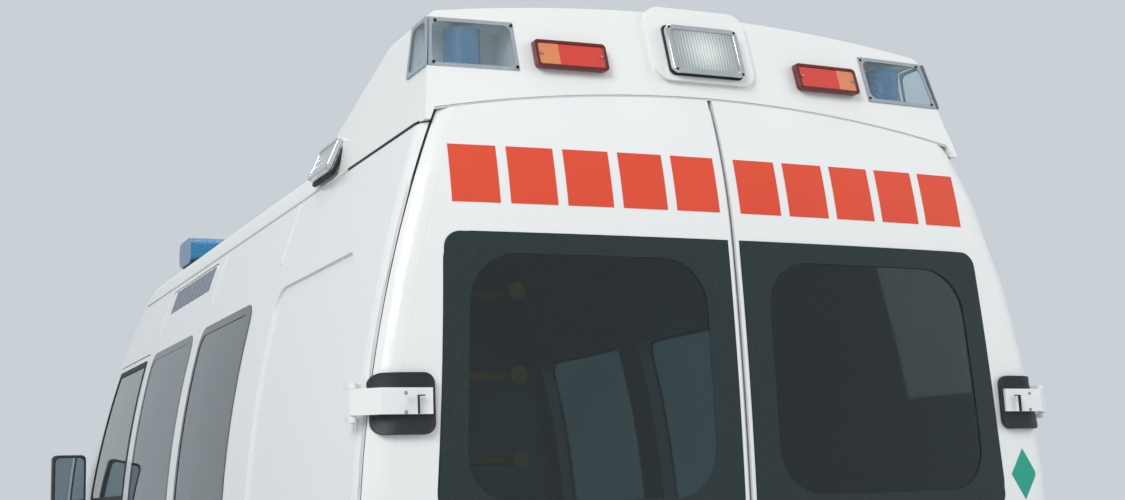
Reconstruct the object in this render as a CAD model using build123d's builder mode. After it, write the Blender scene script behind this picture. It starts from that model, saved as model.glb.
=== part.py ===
"""High-roof van ambulance: steered front wheels, cab doors, rear doors and a bonnet that open.

Millimetres. X to the vehicle's right, Y forwards, Z up. The origin lies on the ground, under the
middle of the vehicle's length.
"""

import os
from copy import deepcopy
from math import atan2, cos, hypot, radians, sin, tan

from build123d import *

os.makedirs("parts", exist_ok=True)

# Body form
body_half_width = 1012
widest_z = 1150
side_radius = 3305
sill_z = 380
sill_half_width = 965
roof_z = 2440
roof_radius = 7670
shoulder_radius = 110
rear_y = -2694
rear_straight_z = 1250
rear_bow_radius = 9660
rear_corner_radius = 75
front_y = 2700
front_bow_radius = 4200
nose_corner_radius = 380
wall = 58
nose_wall = 40

# Gaps and seats
door_gap = 7
seat_gap = 0.3
pane = 5
edge_slant = 9
rear_edge_slant = 12

# Roof
roof_joint_z = 2290
door_arch_rise = 98
pod_half_width = 757
pod_base_half_width = 806
pod_top_z = 2655
pod_side_z = 2600
pod_ramp_foot_y = -1600
pod_ramp_head_y = -2360

# Windows in the sides
window_top_z = 2002
window_bottom_z = 1295
window_radius = 75
window_flange = 22
rear_bay = (-1179, -371)
door_bay = (-236, 623)
recess_bay = (-2306, -1483)
recess_depth = 8

# Doors
sliding_door_rear_y = -300
sliding_door_front_y = 652
door_bottom_z = 512
cab_door_rear_y = 690
cab_door_front_y = 1740
cab_door_top_z = 2034
belt_z = 1400
cab_glass_frame = 62
rear_door_bottom_z = 520
rear_seam_inset = 14
middle_gap = 14
corner_setback = 150
rear_window_foot_x = 828
rear_window_head_x = 787
rear_window_centre_x = 16

# Lamps
tail_lamp_inner_x = 905
tail_lamp_z = (780, 1180)
tail_lamp_depth = 34
lamp_step_x, lamp_step_z, lamp_seam = 28, 20, 15
lamp_depth = 22
marker_x, marker_z = 393, 2493
marker_width, marker_height = 197, 76
scene_lamp_z, scene_lamp_width, scene_lamp_height = 2536, 215, 142
side_lamp_y, side_lamp_z = -1694, 2330
side_lamp_length, side_lamp_height, side_lamp_tilt = 205, 106, 24
bump_half_width, bump_depth = 152, 16
bump_bottom_z, bump_top_z = 2446, 2668
lamp_bay_inner_x, lamp_bay_front_y = 535, -2364
lamp_bay_z = (2441, 2583)
beacon_x, beacon_y = 655, -2435
beacon_radius, beacon_height = 48, 122

# Front
head_y, head_z = 1610, 2040
cowl_y, cowl_z = 2200, 1280
roof_end_y = 1120
nose_z = 900
bonnet_rear_y = 2228
cowl_gap = 21
bonnet_half_width = 700
grille_half_width = 470
grille_bottom_z = 735
lamp_inner_x = 490
lamp_bottom_z = 765
lamp_top_z = 985
lamp_rear_y = 2390
bumper_top_z = 715
bumper_bottom_z = 290
bumper_reach = 50
bumper_tail_y = 2340
screen_half_foot, screen_half_head, screen_margin = 830, 715, 52
firewall_y = 1960

# Wheels
front_axle_y = 1890
rear_axle_y = -1688
tyre_radius = 349
tyre_width = 225
tyre_shoulder = 38
rim_radius = 203
front_wheel_x = 875
rear_wheel_x = 862
arch_radius = 430
arch_liner = 8
arch_depth = 470
kingpin_x = 820
ball_radius = 18
ball_rise = 135
hub_radius = 32

# Floor
floor_z = 580
floor_thickness = 60
floor_front_y = 1420
rail_x = 430
rail_height = 100
rail_width = 80

# Hinges
cab_hinge_x = 1016
cab_hinge_heights = (860, 1210)
cab_lug = 40
rear_hinge_x = 1009
rear_hinge_y = -2606
rear_hinge_heights = (690, 1587)
hinge_barrel = 10
hinge_pin = 5
hinge_relief = 20
knuckle_height = 14
arm_height = 62
arm_reach = 175
bonnet_hinge_x = 560
bonnet_hinge_setback, bonnet_hinge_z = 7, 1258
bonnet_barrel = 8
bonnet_lug = 17
bonnet_relief = 14

# Mirrors
mirror_inner_x, mirror_y, mirror_z = 1034, 1640, 1490
mirror_width, mirror_height, mirror_depth = 150, 270, 110

# Rear step
step_rear_y = -2750
step_front_y = -2560
step_top_z = 500
step_bottom_z = 400
step_half_width = 985

rear_axis_y = rear_y + rear_bow_radius
front_axis_y = front_y - front_bow_radius
sill_drop = widest_z - sill_z
sill_tuck = body_half_width - sill_half_width
sill_radius = (sill_drop**2 + sill_tuck**2) / (2 * sill_tuck)
cab_hinge_y = cab_door_front_y + door_gap
bonnet_hinge_y = bonnet_rear_y - bonnet_hinge_setback
lid_z = lamp_top_z + door_gap
screen_slope = atan2(head_z - cowl_z, cowl_y - head_y)


def save(name, part):
    """Label one finished piece and write it."""
    part.label = name
    export_step(part, f"parts/{name}.step")


def fresh(form):
    """A copy of a form, so that every cut starts from exact surfaces."""
    return deepcopy(form)


def side_x(z, inset=0):
    """Half width of the body at a height, or of the body moved inwards by inset."""
    radius = side_radius if z > widest_z else sill_radius
    return body_half_width - radius + ((radius - inset) ** 2 - (z - widest_z) ** 2) ** 0.5


def rear_lean(z):
    """How far the rear face has moved forwards at a height."""
    if z <= rear_straight_z:
        return 0
    if z <= 2012:
        return 33 * ((z - rear_straight_z) / (2012 - rear_straight_z)) ** 2
    return 33 + 0.1 * (z - 2012) + 142e-3 * (z - 2012) ** 2 / 376


def box_between(x, y, z):
    """A block given by its low and high coordinates."""
    return Pos((x[0] + x[1]) / 2, (y[0] + y[1]) / 2, (z[0] + z[1]) / 2) * Box(
        x[1] - x[0], y[1] - y[0], z[1] - z[0]
    )


def side_range(side, inner, outer):
    """An X range given by its distances from the middle, on one side of the vehicle."""
    return (inner, outer) if side > 0 else (-outer, -inner)


def turned_plane(axis_y, spread):
    """An upright plane through (0, axis_y), turned away from the middle plane."""
    turn = radians(spread)
    return Plane(
        origin=(0, axis_y, 0), x_dir=(sin(turn), cos(turn), 0), z_dir=(cos(turn), -sin(turn), 0)
    )


def shoulder_corner(inset):
    """Where the side's arc and the roof's arc would meet, moved inwards by inset."""
    side_centre = (body_half_width - side_radius, widest_z)
    roof_centre = (0, roof_z - roof_radius)
    r1, r2 = side_radius - inset, roof_radius - inset
    dx, dz = roof_centre[0] - side_centre[0], roof_centre[1] - side_centre[1]
    span = hypot(dx, dz)
    along = (span**2 + r1**2 - r2**2) / (2 * span)
    across = (r1**2 - along**2) ** 0.5
    return (
        side_centre[0] + (along * dx - across * dz) / span,
        side_centre[1] + (along * dz + across * dx) / span,
    )


def section_bar(inset):
    """The body's cross-section, drawn out along the vehicle."""
    low = sill_z - 1 - 4 * inset
    corner_x, corner_z = shoulder_corner(inset)
    upper_z = (widest_z + corner_z) / 2
    lower_z = (sill_z + widest_z) / 2
    foot = side_x(sill_z, inset)
    with BuildPart() as bar:
        with BuildSketch(Plane.XZ.offset(-3000)) as section:
            with BuildLine():
                Polyline((-foot, sill_z), (-foot, low), (foot, low), (foot, sill_z))
                for side in (1, -1):
                    ThreePointArc(
                        (side * foot, sill_z),
                        (side * side_x(lower_z, inset), lower_z),
                        (side * (body_half_width - inset), widest_z),
                    )
                    ThreePointArc(
                        (side * (body_half_width - inset), widest_z),
                        (side * side_x(upper_z, inset), upper_z),
                        (side * corner_x, corner_z),
                    )
                ThreePointArc((corner_x, corner_z), (0, roof_z - inset), (-corner_x, corner_z))
            make_face()
            fillet(section.vertices().sort_by(Axis.Y)[-2:], shoulder_radius - inset)
        extrude(amount=6000)
    return bar.part


def rear_cutter(inset):
    """What lies behind the bowed, leaning rear face."""
    base = rear_y + inset - rear_axis_y
    with BuildPart() as cutter:
        with BuildSketch(turned_plane(rear_axis_y, 12)):
            with BuildLine():
                Line((base, 50), (base, rear_straight_z))
                ThreePointArc((base, rear_straight_z), (base + 8, 1640), (base + 33, 2012))
                ThreePointArc((base + 33, 2012), (base + 65, 2200), (base + 124, 2388))
                Polyline(
                    (base + 124, 2388),
                    (base + 290, 2900),
                    (base - 600, 2900),
                    (base - 600, 50),
                    (base, 50),
                )
            make_face()
        revolve(axis=Axis((0, rear_axis_y, 0), (0, 0, 1)), revolution_arc=24)
    return cutter.part


def front_cutter(inset):
    """What lies ahead of the domed roof end, the windscreen, the bonnet and the nose."""
    shift = inset / sin(screen_slope) + front_axis_y
    with BuildPart() as cutter:
        with BuildSketch(turned_plane(front_axis_y, 50)):
            with BuildLine():
                Line((roof_end_y - shift, 2900), (roof_end_y - shift, roof_z + 30))
                ThreePointArc(
                    (roof_end_y - shift, roof_z + 30),
                    (roof_end_y + 320 - shift, roof_z - 110),
                    (head_y - shift, head_z),
                )
                Line((head_y - shift, head_z), (cowl_y - shift, cowl_z))
                ThreePointArc(
                    (cowl_y - shift, cowl_z), (cowl_y + 260 - shift, cowl_z - 105), (front_y - 60 - shift, 1010)
                )
                Polyline(
                    (front_y - 60 - shift, 1010),
                    (front_y - shift, nose_z),
                    (front_y - shift, 50),
                    (3700 - front_axis_y, 50),
                    (3700 - front_axis_y, 2900),
                    (roof_end_y - shift, 2900),
                )
            make_face()
        revolve(axis=Axis((0, front_axis_y, 0), (0, 0, 1)), revolution_arc=100)
    return cutter.part


def corner_cutter(inset, side):
    """Rounds one rear corner from the sill to the roof."""
    radius = rear_corner_radius
    with BuildPart() as cutter:
        for z in (300, 765, 1150, 1400, 1650, 1900, 2150, 2290, 2420):
            x = side_x(z) - inset
            y = rear_y + inset + rear_lean(z) + (x - radius) ** 2 / (2 * rear_bow_radius)
            bulge = radius * (1 - cos(radians(45)))
            with BuildSketch(Plane.XY.offset(z)):
                with BuildLine():
                    ThreePointArc(
                        (side * x, y + radius),
                        (side * (x - bulge), y + bulge),
                        (side * (x - radius), y),
                    )
                    Polyline(
                        (side * (x - radius), y),
                        (side * (x - radius), y - 60),
                        (side * (x + 60), y - 60),
                        (side * (x + 60), y + radius),
                        (side * x, y + radius),
                    )
                make_face()
        loft(ruled=True)
    return cutter.part


def nose_cutter(inset, side):
    """Rounds one front corner of the nose."""
    radius = nose_corner_radius - inset
    edge = body_half_width + 3 - inset
    front = front_y - inset
    bulge = radius * (1 - cos(radians(45)))
    with BuildPart() as cutter:
        with BuildSketch(Plane.XY):
            with BuildLine():
                ThreePointArc(
                    (side * edge, front - radius),
                    (side * (edge - bulge), front - bulge),
                    (side * (edge - radius), front),
                )
                Polyline(
                    (side * (edge - radius), front),
                    (side * (edge - radius), front + 100),
                    (side * (edge + 100), front + 100),
                    (side * (edge + 100), front - radius),
                    (side * edge, front - radius),
                )
            make_face()
        extrude(amount=3000)
    return cutter.part


def body_form(inset, rounded=True):
    """The whole outer body with every face moved inwards by inset, open below."""
    bar = section_bar(inset)
    cutters = [rear_cutter(inset), front_cutter(inset)]
    for side in (-1, 1):
        cutters.append(nose_cutter(inset, side))
        if rounded:
            cutters.append(corner_cutter(inset, side))
    with BuildPart() as form:
        add(bar)
        for cutter in cutters:
            add(cutter, mode=Mode.SUBTRACT)
    return form.part


def pod_form(inset):
    """The raised pod on the rear of the roof."""
    with BuildPart() as bar:
        with BuildSketch(Plane.XZ.offset(-3000)) as section:
            with BuildLine():
                Polyline(
                    (-pod_half_width, pod_side_z),
                    (-pod_base_half_width, roof_joint_z),
                    (pod_base_half_width, roof_joint_z),
                    (pod_half_width, pod_side_z),
                )
                ThreePointArc((pod_half_width, pod_side_z), (0, pod_top_z), (-pod_half_width, pod_side_z))
            make_face()
            fillet(section.vertices().sort_by(Axis.Y)[-2:], 30)
            if inset:
                offset(amount=-inset)
        extrude(amount=6000)
    with BuildPart() as ramp:
        with BuildSketch(Plane.YZ.offset(-1100)):
            with BuildLine():
                foot = pod_ramp_foot_y - inset
                Polyline(
                    (-3000, roof_joint_z - 60),
                    (-3000, pod_top_z + 5),
                    (pod_ramp_head_y - inset, pod_top_z + 5),
                    (foot, roof_z - 45),
                    (foot, roof_joint_z - 60),
                    close=True,
                )
            make_face()
        extrude(amount=2200)
    return (bar.part & ramp.part) - rear_cutter(inset)


def side_prism(outline, side, slant=0):
    """A (y, z) outline drawn through one side, narrowing inwards by slant degrees."""
    with BuildPart() as prism:
        with BuildSketch(Plane.YZ.offset(side * (body_half_width + 40))):
            add(outline)
        extrude(amount=-side * 330, taper=slant)
    return prism.part


def rear_prism(outline, slant=0, start=rear_y - 60, depth=250):
    """An (x, z) outline drawn forwards through the rear face, narrowing by slant degrees."""
    with BuildPart() as prism:
        with BuildSketch(Plane.XZ.offset(-start)):
            add(outline)
        extrude(amount=-depth, taper=slant)
    return prism.part


def window_outline(bay, grow):
    """Rounded side window or recess between two Y values."""
    with BuildSketch(Plane.XY) as outline:
        with Locations(((bay[0] + bay[1]) / 2, (window_top_z + window_bottom_z) / 2)):
            RectangleRounded(
                bay[1] - bay[0] + 2 * grow, window_top_z - window_bottom_z + 2 * grow, window_radius + grow
            )
    return outline.sketch


def sliding_outline(grow):
    """Outline of the sliding door in the left side."""
    with BuildSketch(Plane.XY) as outline:
        with Locations(
            (
                (sliding_door_rear_y + sliding_door_front_y) / 2,
                (door_bottom_z + roof_joint_z - 30) / 2,
            )
        ):
            RectangleRounded(
                sliding_door_front_y - sliding_door_rear_y + 2 * grow,
                roof_joint_z - 30 - door_bottom_z + 2 * grow,
                60 + grow,
            )
    return outline.sketch


def cab_door_outline(grow, window=False):
    """Outline of a cab door, or of the window in it."""
    with BuildSketch(Plane.XY) as outline:
        with BuildLine():
            if window:
                Polyline(
                    (cab_door_rear_y + cab_glass_frame, belt_z),
                    (cab_door_rear_y + cab_glass_frame, cab_door_top_z - 45),
                    (1430, cab_door_top_z - 45),
                    (cab_door_front_y - cab_glass_frame, belt_z + 30),
                    (cab_door_front_y - cab_glass_frame - 20, belt_z),
                    close=True,
                )
            else:
                Polyline(
                    (cab_door_rear_y, door_bottom_z),
                    (cab_door_rear_y, cab_door_top_z),
                    (1470, cab_door_top_z),
                    (cab_door_front_y, belt_z + 50),
                    (cab_door_front_y, door_bottom_z),
                    close=True,
                )
        make_face()
        fillet(outline.vertices(), 30)
        if not window:
            with Locations((front_axle_y, tyre_radius)):
                Circle(arch_radius + 8, mode=Mode.SUBTRACT)
        if grow:
            offset(amount=grow)
    return outline.sketch


def rear_door_outline(side, grow):
    """Outline of one rear door, from its seam by the corner to the middle gap."""
    seam = -60
    bottom = rear_door_bottom_z - grow
    edge = side_x(roof_joint_z) - seam
    top = roof_joint_z + 8 + grow
    middle = side * (middle_gap / 2 - grow)
    heights = (bottom, (bottom + widest_z) / 2, widest_z, (widest_z + roof_joint_z) / 2, roof_joint_z)
    with BuildSketch(Plane.XY) as outline:
        with BuildLine():
            ThreePointArc(*((side * (side_x(z) - seam), z) for z in heights[:3]))
            ThreePointArc(
                (side * (side_x(widest_z) - seam), widest_z),
                (side * (side_x(heights[3]) - seam), heights[3]),
                (side * edge, top),
            )
            arch_mid = top + door_arch_rise * 0.75
            ThreePointArc((side * edge, top), (side * edge / 2, arch_mid), (middle, top + door_arch_rise))
            Polyline(
                (middle, top + door_arch_rise),
                (middle, bottom),
                (side * (side_x(bottom) - seam), bottom),
            )
        make_face()
        notch_x = tail_lamp_inner_x - lamp_step_x + (lamp_seam if grow else 0)
        with Locations((side * (notch_x + 150), sum(tail_lamp_z) / 2)):
            Rectangle(300, tail_lamp_z[1] - tail_lamp_z[0] + 2 * (lamp_step_z - grow), mode=Mode.SUBTRACT)
    return outline.sketch


def rear_door_prism(side, grow):
    """Everything one rear door may fill: its outline, with a slanted edge beside the corner."""
    seam = rear_seam_inset - grow - corner_setback * tan(radians(rear_edge_slant))
    heights = (200, 640, widest_z, 1820, 2500)
    with BuildSketch(Plane.XY) as seam_outline:
        with BuildLine():
            for low, middle, high in (heights[:3], heights[2:]):
                ThreePointArc(*((side * (side_x(z) - seam), z) for z in (low, middle, high)))
            Polyline(
                (side * (side_x(heights[4]) - seam), heights[4]),
                (-side * 200, heights[4]),
                (-side * 200, heights[0]),
                (side * (side_x(heights[0]) - seam), heights[0]),
            )
        make_face()
    straight = rear_prism(rear_door_outline(side, grow))
    slanted = rear_prism(seam_outline.sketch, rear_edge_slant)
    return straight & slanted


def rear_window_outline(side, grow):
    """Rear window glass: leans with the tumblehome outside, upright beside the middle gap."""
    low, high = window_bottom_z - grow, window_top_z + grow
    foot, top = rear_window_foot_x + grow, rear_window_head_x + grow
    inner = rear_window_centre_x - grow
    with BuildSketch(Plane.XY) as outline:
        with BuildLine():
            ThreePointArc(
                (side * foot, low), (side * (foot * 0.4 + top * 0.6), (low + high) / 2), (side * top, high)
            )
            Polyline((side * top, high), (side * inner, high), (side * inner, low), (side * foot, low))
        make_face()
        corners = outline.vertices().sort_by(Axis.X)
        fillet(corners[-2:] if side > 0 else corners[:2], window_radius + grow)
    return outline.sketch


def tail_lamp_outline(side, grow):
    """Upright tail lamp that wraps round one rear corner."""
    with BuildSketch(Plane.XY) as outline:
        with Locations((side * (tail_lamp_inner_x + 100), sum(tail_lamp_z) / 2)):
            RectangleRounded(200 + 2 * grow, tail_lamp_z[1] - tail_lamp_z[0] + 2 * grow, 14 + grow)
    return outline.sketch


def upright(x, y, z, radius, height):
    """A vertical round bar that starts at z."""
    with BuildPart() as bar:
        with BuildSketch(Plane.XY.offset(z)):
            with Locations((x, y)):
                Circle(radius)
        extrude(amount=height)
    return bar.part


def lying(x, y, z, radius, length):
    """A round bar along X that starts at x."""
    with BuildPart() as bar:
        with BuildSketch(Plane.YZ.offset(x)):
            with Locations((y, z)):
                Circle(radius)
        extrude(amount=length)
    return bar.part


def arch(side, axle_y, radius, inner, outer):
    """A round bar around an axle, between two distances from the middle."""
    low, high = side_range(side, inner, outer)
    return lying(low, axle_y, tyre_radius, radius, high - low)


def stacked(x, y, heights, low, high, radius):
    """The same upright bar at several heights, from low to high around each."""
    with BuildPart() as bars:
        for z in heights:
            with BuildSketch(Plane.XY.offset(z + low)):
                with Locations((x, y)):
                    Circle(radius)
            extrude(amount=high - low)
    return bars.part


def hinge_knuckles(x, y, heights, half_lug, web):
    """Fixed half of a set of hinges: pins held by a knuckle above and below each lug."""
    with BuildPart() as knuckles:
        for z in heights:
            with BuildSketch(Plane.XY.offset(z - half_lug - knuckle_height)):
                with Locations((x, y)):
                    Circle(hinge_pin)
            extrude(amount=2 * (half_lug + knuckle_height))
            for start in (z - half_lug - 1 - knuckle_height, z + half_lug + 1):
                with BuildSketch(Plane.XY.offset(start)):
                    with Locations((x, y)):
                        Circle(hinge_barrel)
                    with BuildLine():
                        Polyline(*web(z), close=True)
                    make_face()
                extrude(amount=knuckle_height)
    return knuckles.part


def rear_hinge_web(side):
    """Plan outline that joins a rear hinge knuckle to the body corner, for a height."""

    def outline(z):
        edge = side_x(z) - 12
        return (
            (side * (rear_hinge_x + hinge_barrel), rear_hinge_y),
            (side * (rear_hinge_x + hinge_barrel - 2), rear_hinge_y + 50),
            (side * edge, rear_hinge_y + 78),
            (side * edge, rear_hinge_y + 46),
            (side * (rear_hinge_x - hinge_barrel), rear_hinge_y + 22),
            (side * (rear_hinge_x - hinge_barrel), rear_hinge_y),
        )

    return outline


def cab_hinge_web(side, forward):
    """Plan outline that joins a cab door hinge to the wing (forward 1) or the door (-1)."""

    def outline(_):
        return (
            (side * (cab_hinge_x + hinge_barrel), cab_hinge_y),
            (side * (cab_hinge_x + hinge_barrel - 2), cab_hinge_y + forward * 23),
            (side * (cab_hinge_x - 24), cab_hinge_y + forward * 45),
            (side * (cab_hinge_x - 24), cab_hinge_y + forward * 27),
            (side * (cab_hinge_x - hinge_barrel), cab_hinge_y),
        )

    return outline


def lid_prism(grow, low):
    """Plan outline of the bonnet, drawn upwards from a height."""
    rear = bonnet_rear_y - (cowl_gap if grow else 0)
    with BuildPart() as prism:
        with BuildSketch(Plane.XY.offset(low)):
            with BuildLine():
                Polyline(
                    (-bonnet_half_width - grow, rear),
                    (bonnet_half_width + grow, rear),
                    (bonnet_half_width - 60 + grow, front_y + 100),
                    (60 - bonnet_half_width - grow, front_y + 100),
                    close=True,
                )
            make_face()
        extrude(amount=1400 - low)
    return prism.part


def headlamp_prism(side):
    """Front outline of one headlamp, drawn rearwards round the nose corner."""
    with BuildPart() as prism:
        with BuildSketch(Plane.XZ.offset(-2800)):
            with BuildLine():
                Polyline(
                    (side * lamp_inner_x, lamp_bottom_z + 30),
                    (side * (lamp_inner_x + 40), lamp_bottom_z),
                    (side * 1060, lamp_bottom_z + 60),
                    (side * 1060, lamp_top_z + 70),
                    (side * 730, lamp_top_z),
                    (side * lamp_inner_x, lamp_top_z),
                    close=True,
                )
            make_face()
        extrude(amount=2800 - lamp_rear_y)
    return prism.part


def bonnet_hinge_arm(x, width, forward):
    """A barrel on the bonnet hinge axis with the web that joins it to cowl or lid."""
    with BuildPart() as arm:
        with BuildSketch(Plane.YZ.offset(x)):
            with Locations((bonnet_hinge_y, bonnet_hinge_z)):
                Circle(bonnet_barrel)
            with BuildLine():
                Polyline(
                    (bonnet_hinge_y, bonnet_hinge_z + bonnet_barrel - 2),
                    (bonnet_hinge_y + forward * 24, bonnet_hinge_z + 1),
                    (bonnet_hinge_y + forward * 24, bonnet_hinge_z - 22),
                    (bonnet_hinge_y, bonnet_hinge_z - bonnet_barrel),
                    close=True,
                )
            make_face()
        extrude(amount=width)
    return arm.part


def bonnet_hinge_blocks(side):
    """Fixed half of one bonnet hinge: two knuckles on the cowl and the pin between them."""
    middle = side * bonnet_hinge_x
    pin = lying(middle - bonnet_lug - 8, bonnet_hinge_y, bonnet_hinge_z, 4, 2 * bonnet_lug + 16)
    return [
        bonnet_hinge_arm(middle - bonnet_lug - 12, 12, -1),
        bonnet_hinge_arm(middle + bonnet_lug, 12, -1),
        pin,
    ]


def hinge_lug(x, y, z, height, outline):
    """The moving half of one upright hinge: its barrel and the web in plan."""
    with BuildPart() as lug:
        with BuildSketch(Plane.XY.offset(z - height / 2)):
            with Locations((x, y)):
                Circle(hinge_barrel)
            with BuildLine():
                Polyline(*outline, close=True)
            make_face()
        extrude(amount=height)
    return lug.part


# Forms that the panels are cut from
skin = body_form(0)
lining = body_form(wall, rounded=False)
pod = pod_form(0)
shell = fresh(skin) - fresh(lining)
outer_skin = fresh(skin) - body_form(pane)
seat_skin = fresh(skin) - body_form(pane + seat_gap)
recess_skin = fresh(skin) - body_form(recess_depth, rounded=False)
lamp_skin = fresh(skin) - body_form(tail_lamp_depth, rounded=False)
nose_shell = fresh(skin) - body_form(nose_wall, rounded=False)
cap_solid = fresh(skin) + fresh(pod)


def window_cuts(bay, side):
    """The rebate and the hole of one side window."""
    rebate = side_prism(window_outline(bay, 0), side) & fresh(seat_skin)
    return [rebate, side_prism(window_outline(bay, -window_flange), side)]


# Side panels with wheel arches, windows, pressed recess and the fixed rear hinge knuckles
for side, name in ((-1, "left"), (1, "right")):
    region = box_between(side_range(side, 740, 1100), (-2900, cab_door_rear_y - 8), (sill_z, roof_joint_z))
    cuts = [
        rear_door_prism(side, door_gap),
        box_between((-1100, 1100), (-2900, step_front_y + 4), (0, rear_door_bottom_z - door_gap)),
        arch(side, rear_axle_y, arch_radius, 700, 1100),
        side_prism(window_outline(recess_bay, 0), side) & fresh(recess_skin),
        rear_prism(tail_lamp_outline(side, seat_gap)) & fresh(lamp_skin),
        stacked(side * rear_hinge_x, rear_hinge_y, rear_hinge_heights, -51, 51, hinge_relief),
    ]
    cuts.extend(window_cuts(rear_bay, side))
    if side < 0:
        cuts.append(side_prism(sliding_outline(door_gap - 1), side))
    else:
        cuts.extend(window_cuts(door_bay, side))
    liner = arch(side, rear_axle_y, arch_radius + arch_liner, 752, 1100) & fresh(skin)
    liner = liner - arch(side, rear_axle_y, arch_radius, 700, 1200)
    liner = liner & box_between((-1100, 1100), (-2300, -1000), (sill_z, 900))
    knuckles = hinge_knuckles(
        side * rear_hinge_x, rear_hinge_y, rear_hinge_heights, arm_height / 2, rear_hinge_web(side)
    )
    with BuildPart() as side_panel:
        add(fresh(shell) & region)
        for cut in cuts:
            add(cut, mode=Mode.SUBTRACT)
        add(liner)
        add(knuckles)
    save(f"side_panel_{name}", side_panel.part)

# Sliding door, standing on two rollers in the sill
slider_base = fresh(shell) & side_prism(sliding_outline(0), -1)
slider_cuts = window_cuts(door_bay, -1)
with BuildPart() as sliding_door:
    add(slider_base)
    for cut in slider_cuts:
        add(cut, mode=Mode.SUBTRACT)
    for y in (sliding_door_rear_y + 160, sliding_door_front_y - 160):
        with BuildSketch(Plane.XY.offset(door_bottom_z - door_gap + 1 + seat_gap)):
            with Locations((wall / 2 - side_x(door_bottom_z), y)):
                Rectangle(16, 60)
        extrude(amount=30)
save("sliding_door", sliding_door.part)

# Side window glass
side_panes = []
for side in (-1, 1):
    for bay in (rear_bay, door_bay):
        side_panes.append(fresh(outer_skin) & side_prism(window_outline(bay, -seat_gap), side))
with BuildPart() as side_windows:
    add(side_panes)
save("side_windows", side_windows.part)

# Roof cap with the rear pod, the bump round the rear scene lamp and two corner lamp bays
with BuildSketch(Plane.XY) as bump_outline:
    with Locations((0, (bump_top_z + bump_bottom_z) / 2)):
        RectangleRounded(2 * bump_half_width, bump_top_z - bump_bottom_z, 45)
bump = rear_prism(bump_outline.sketch, depth=330) - rear_cutter(-bump_depth)
bump = bump & box_between((-300, 300), (-2800, pod_ramp_head_y - 60), (2400, 2700))
bumped_cap = fresh(cap_solid) + fresh(bump)
cap_region = box_between((-1100, 1100), (-2900, 1900), (roof_joint_z, 2800))
cap_base = fresh(bumped_cap) & cap_region
lamp_bays = []
cover_panes = []
pod_back = pod_form(pane)
for side in (-1, 1):
    bay = box_between(side_range(side, lamp_bay_inner_x, 1100), (-2900, lamp_bay_front_y), lamp_bay_z)
    cover_panes.append((fresh(bay) & fresh(pod)) - fresh(pod_back))
    lamp_bays.append(bay)
cap_door_gaps = [rear_door_prism(-1, door_gap), rear_door_prism(1, door_gap)]
with BuildPart() as roof_cap:
    add(cap_base)
    add(fresh(lining), mode=Mode.SUBTRACT)
    for cut in lamp_bays + cap_door_gaps:
        add(cut, mode=Mode.SUBTRACT)
save("roof_cap", roof_cap.part)
with BuildPart() as corner_light_covers:
    add(cover_panes)
save("corner_light_covers", corner_light_covers.part)

# Blue beacons inside the corner lamp covers
with BuildPart() as corner_beacons:
    with BuildSketch(Plane.XY.offset(lamp_bay_z[0])):
        with Locations((-beacon_x, beacon_y), (beacon_x, beacon_y)):
            Circle(beacon_radius)
    extrude(amount=beacon_height)
save("corner_beacons", corner_beacons.part)

# Rear lamps: marker lamps on the pod and tail lamps let into the corners
rear_lamp_solids = []
for side in (-1, 1):
    with BuildSketch(Plane.XY) as marker_outline:
        with Locations((side * marker_x, marker_z)):
            RectangleRounded(marker_width, marker_height, 20)
    marker = rear_prism(marker_outline.sketch) - rear_cutter(-lamp_depth)
    rear_lamp_solids.append(marker - fresh(cap_solid))
    rear_lamp_solids.append(fresh(lamp_skin) & rear_prism(tail_lamp_outline(side, 0)))
with BuildPart() as rear_lamps:
    add(rear_lamp_solids)
save("rear_lamps", rear_lamps.part)

# Scene lamps: one on the rear bump, one on each roof shoulder
with BuildSketch(Plane.XY) as scene_outline:
    with Locations((0, scene_lamp_z)):
        RectangleRounded(scene_lamp_width, scene_lamp_height, 20)
rear_scene_lamp = rear_prism(scene_outline.sketch) - rear_cutter(-bump_depth - lamp_depth)
scene_lamp_solids = [rear_scene_lamp - fresh(bumped_cap)]
for side in (-1, 1):
    lamp_plane = Plane(
        origin=(side * (side_x(side_lamp_z) - 60), side_lamp_y, side_lamp_z),
        x_dir=(0, 1, 0),
        z_dir=(side * cos(radians(side_lamp_tilt)), 0, sin(radians(side_lamp_tilt))),
    )
    with BuildPart() as side_lamp:
        with BuildSketch(lamp_plane):
            RectangleRounded(side_lamp_length, side_lamp_height, 18)
        extrude(amount=92)
    scene_lamp_solids.append(side_lamp.part - fresh(cap_solid))
with BuildPart() as scene_lamps:
    add(scene_lamp_solids)
save("scene_lamps", scene_lamps.part)


def screen_prism(grow):
    """The windscreen's outline drawn through its own slope."""
    slope = Plane(
        origin=(0, (head_y + cowl_y) / 2, (head_z + cowl_z) / 2),
        x_dir=(1, 0, 0),
        z_dir=(0, sin(screen_slope), cos(screen_slope)),
    )
    half_length = hypot(cowl_y - head_y, head_z - cowl_z) / 2 - screen_margin + grow
    foot, head = screen_half_foot + grow, screen_half_head + grow
    with BuildPart() as prism:
        with BuildSketch(slope.offset(-260)) as outline:
            with BuildLine():
                Polyline(
                    (-foot, -half_length),
                    (foot, -half_length),
                    (head, half_length),
                    (-head, half_length),
                    close=True,
                )
            make_face()
            fillet(outline.vertices(), 70 + grow)
        extrude(amount=420)
    return prism.part


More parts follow.
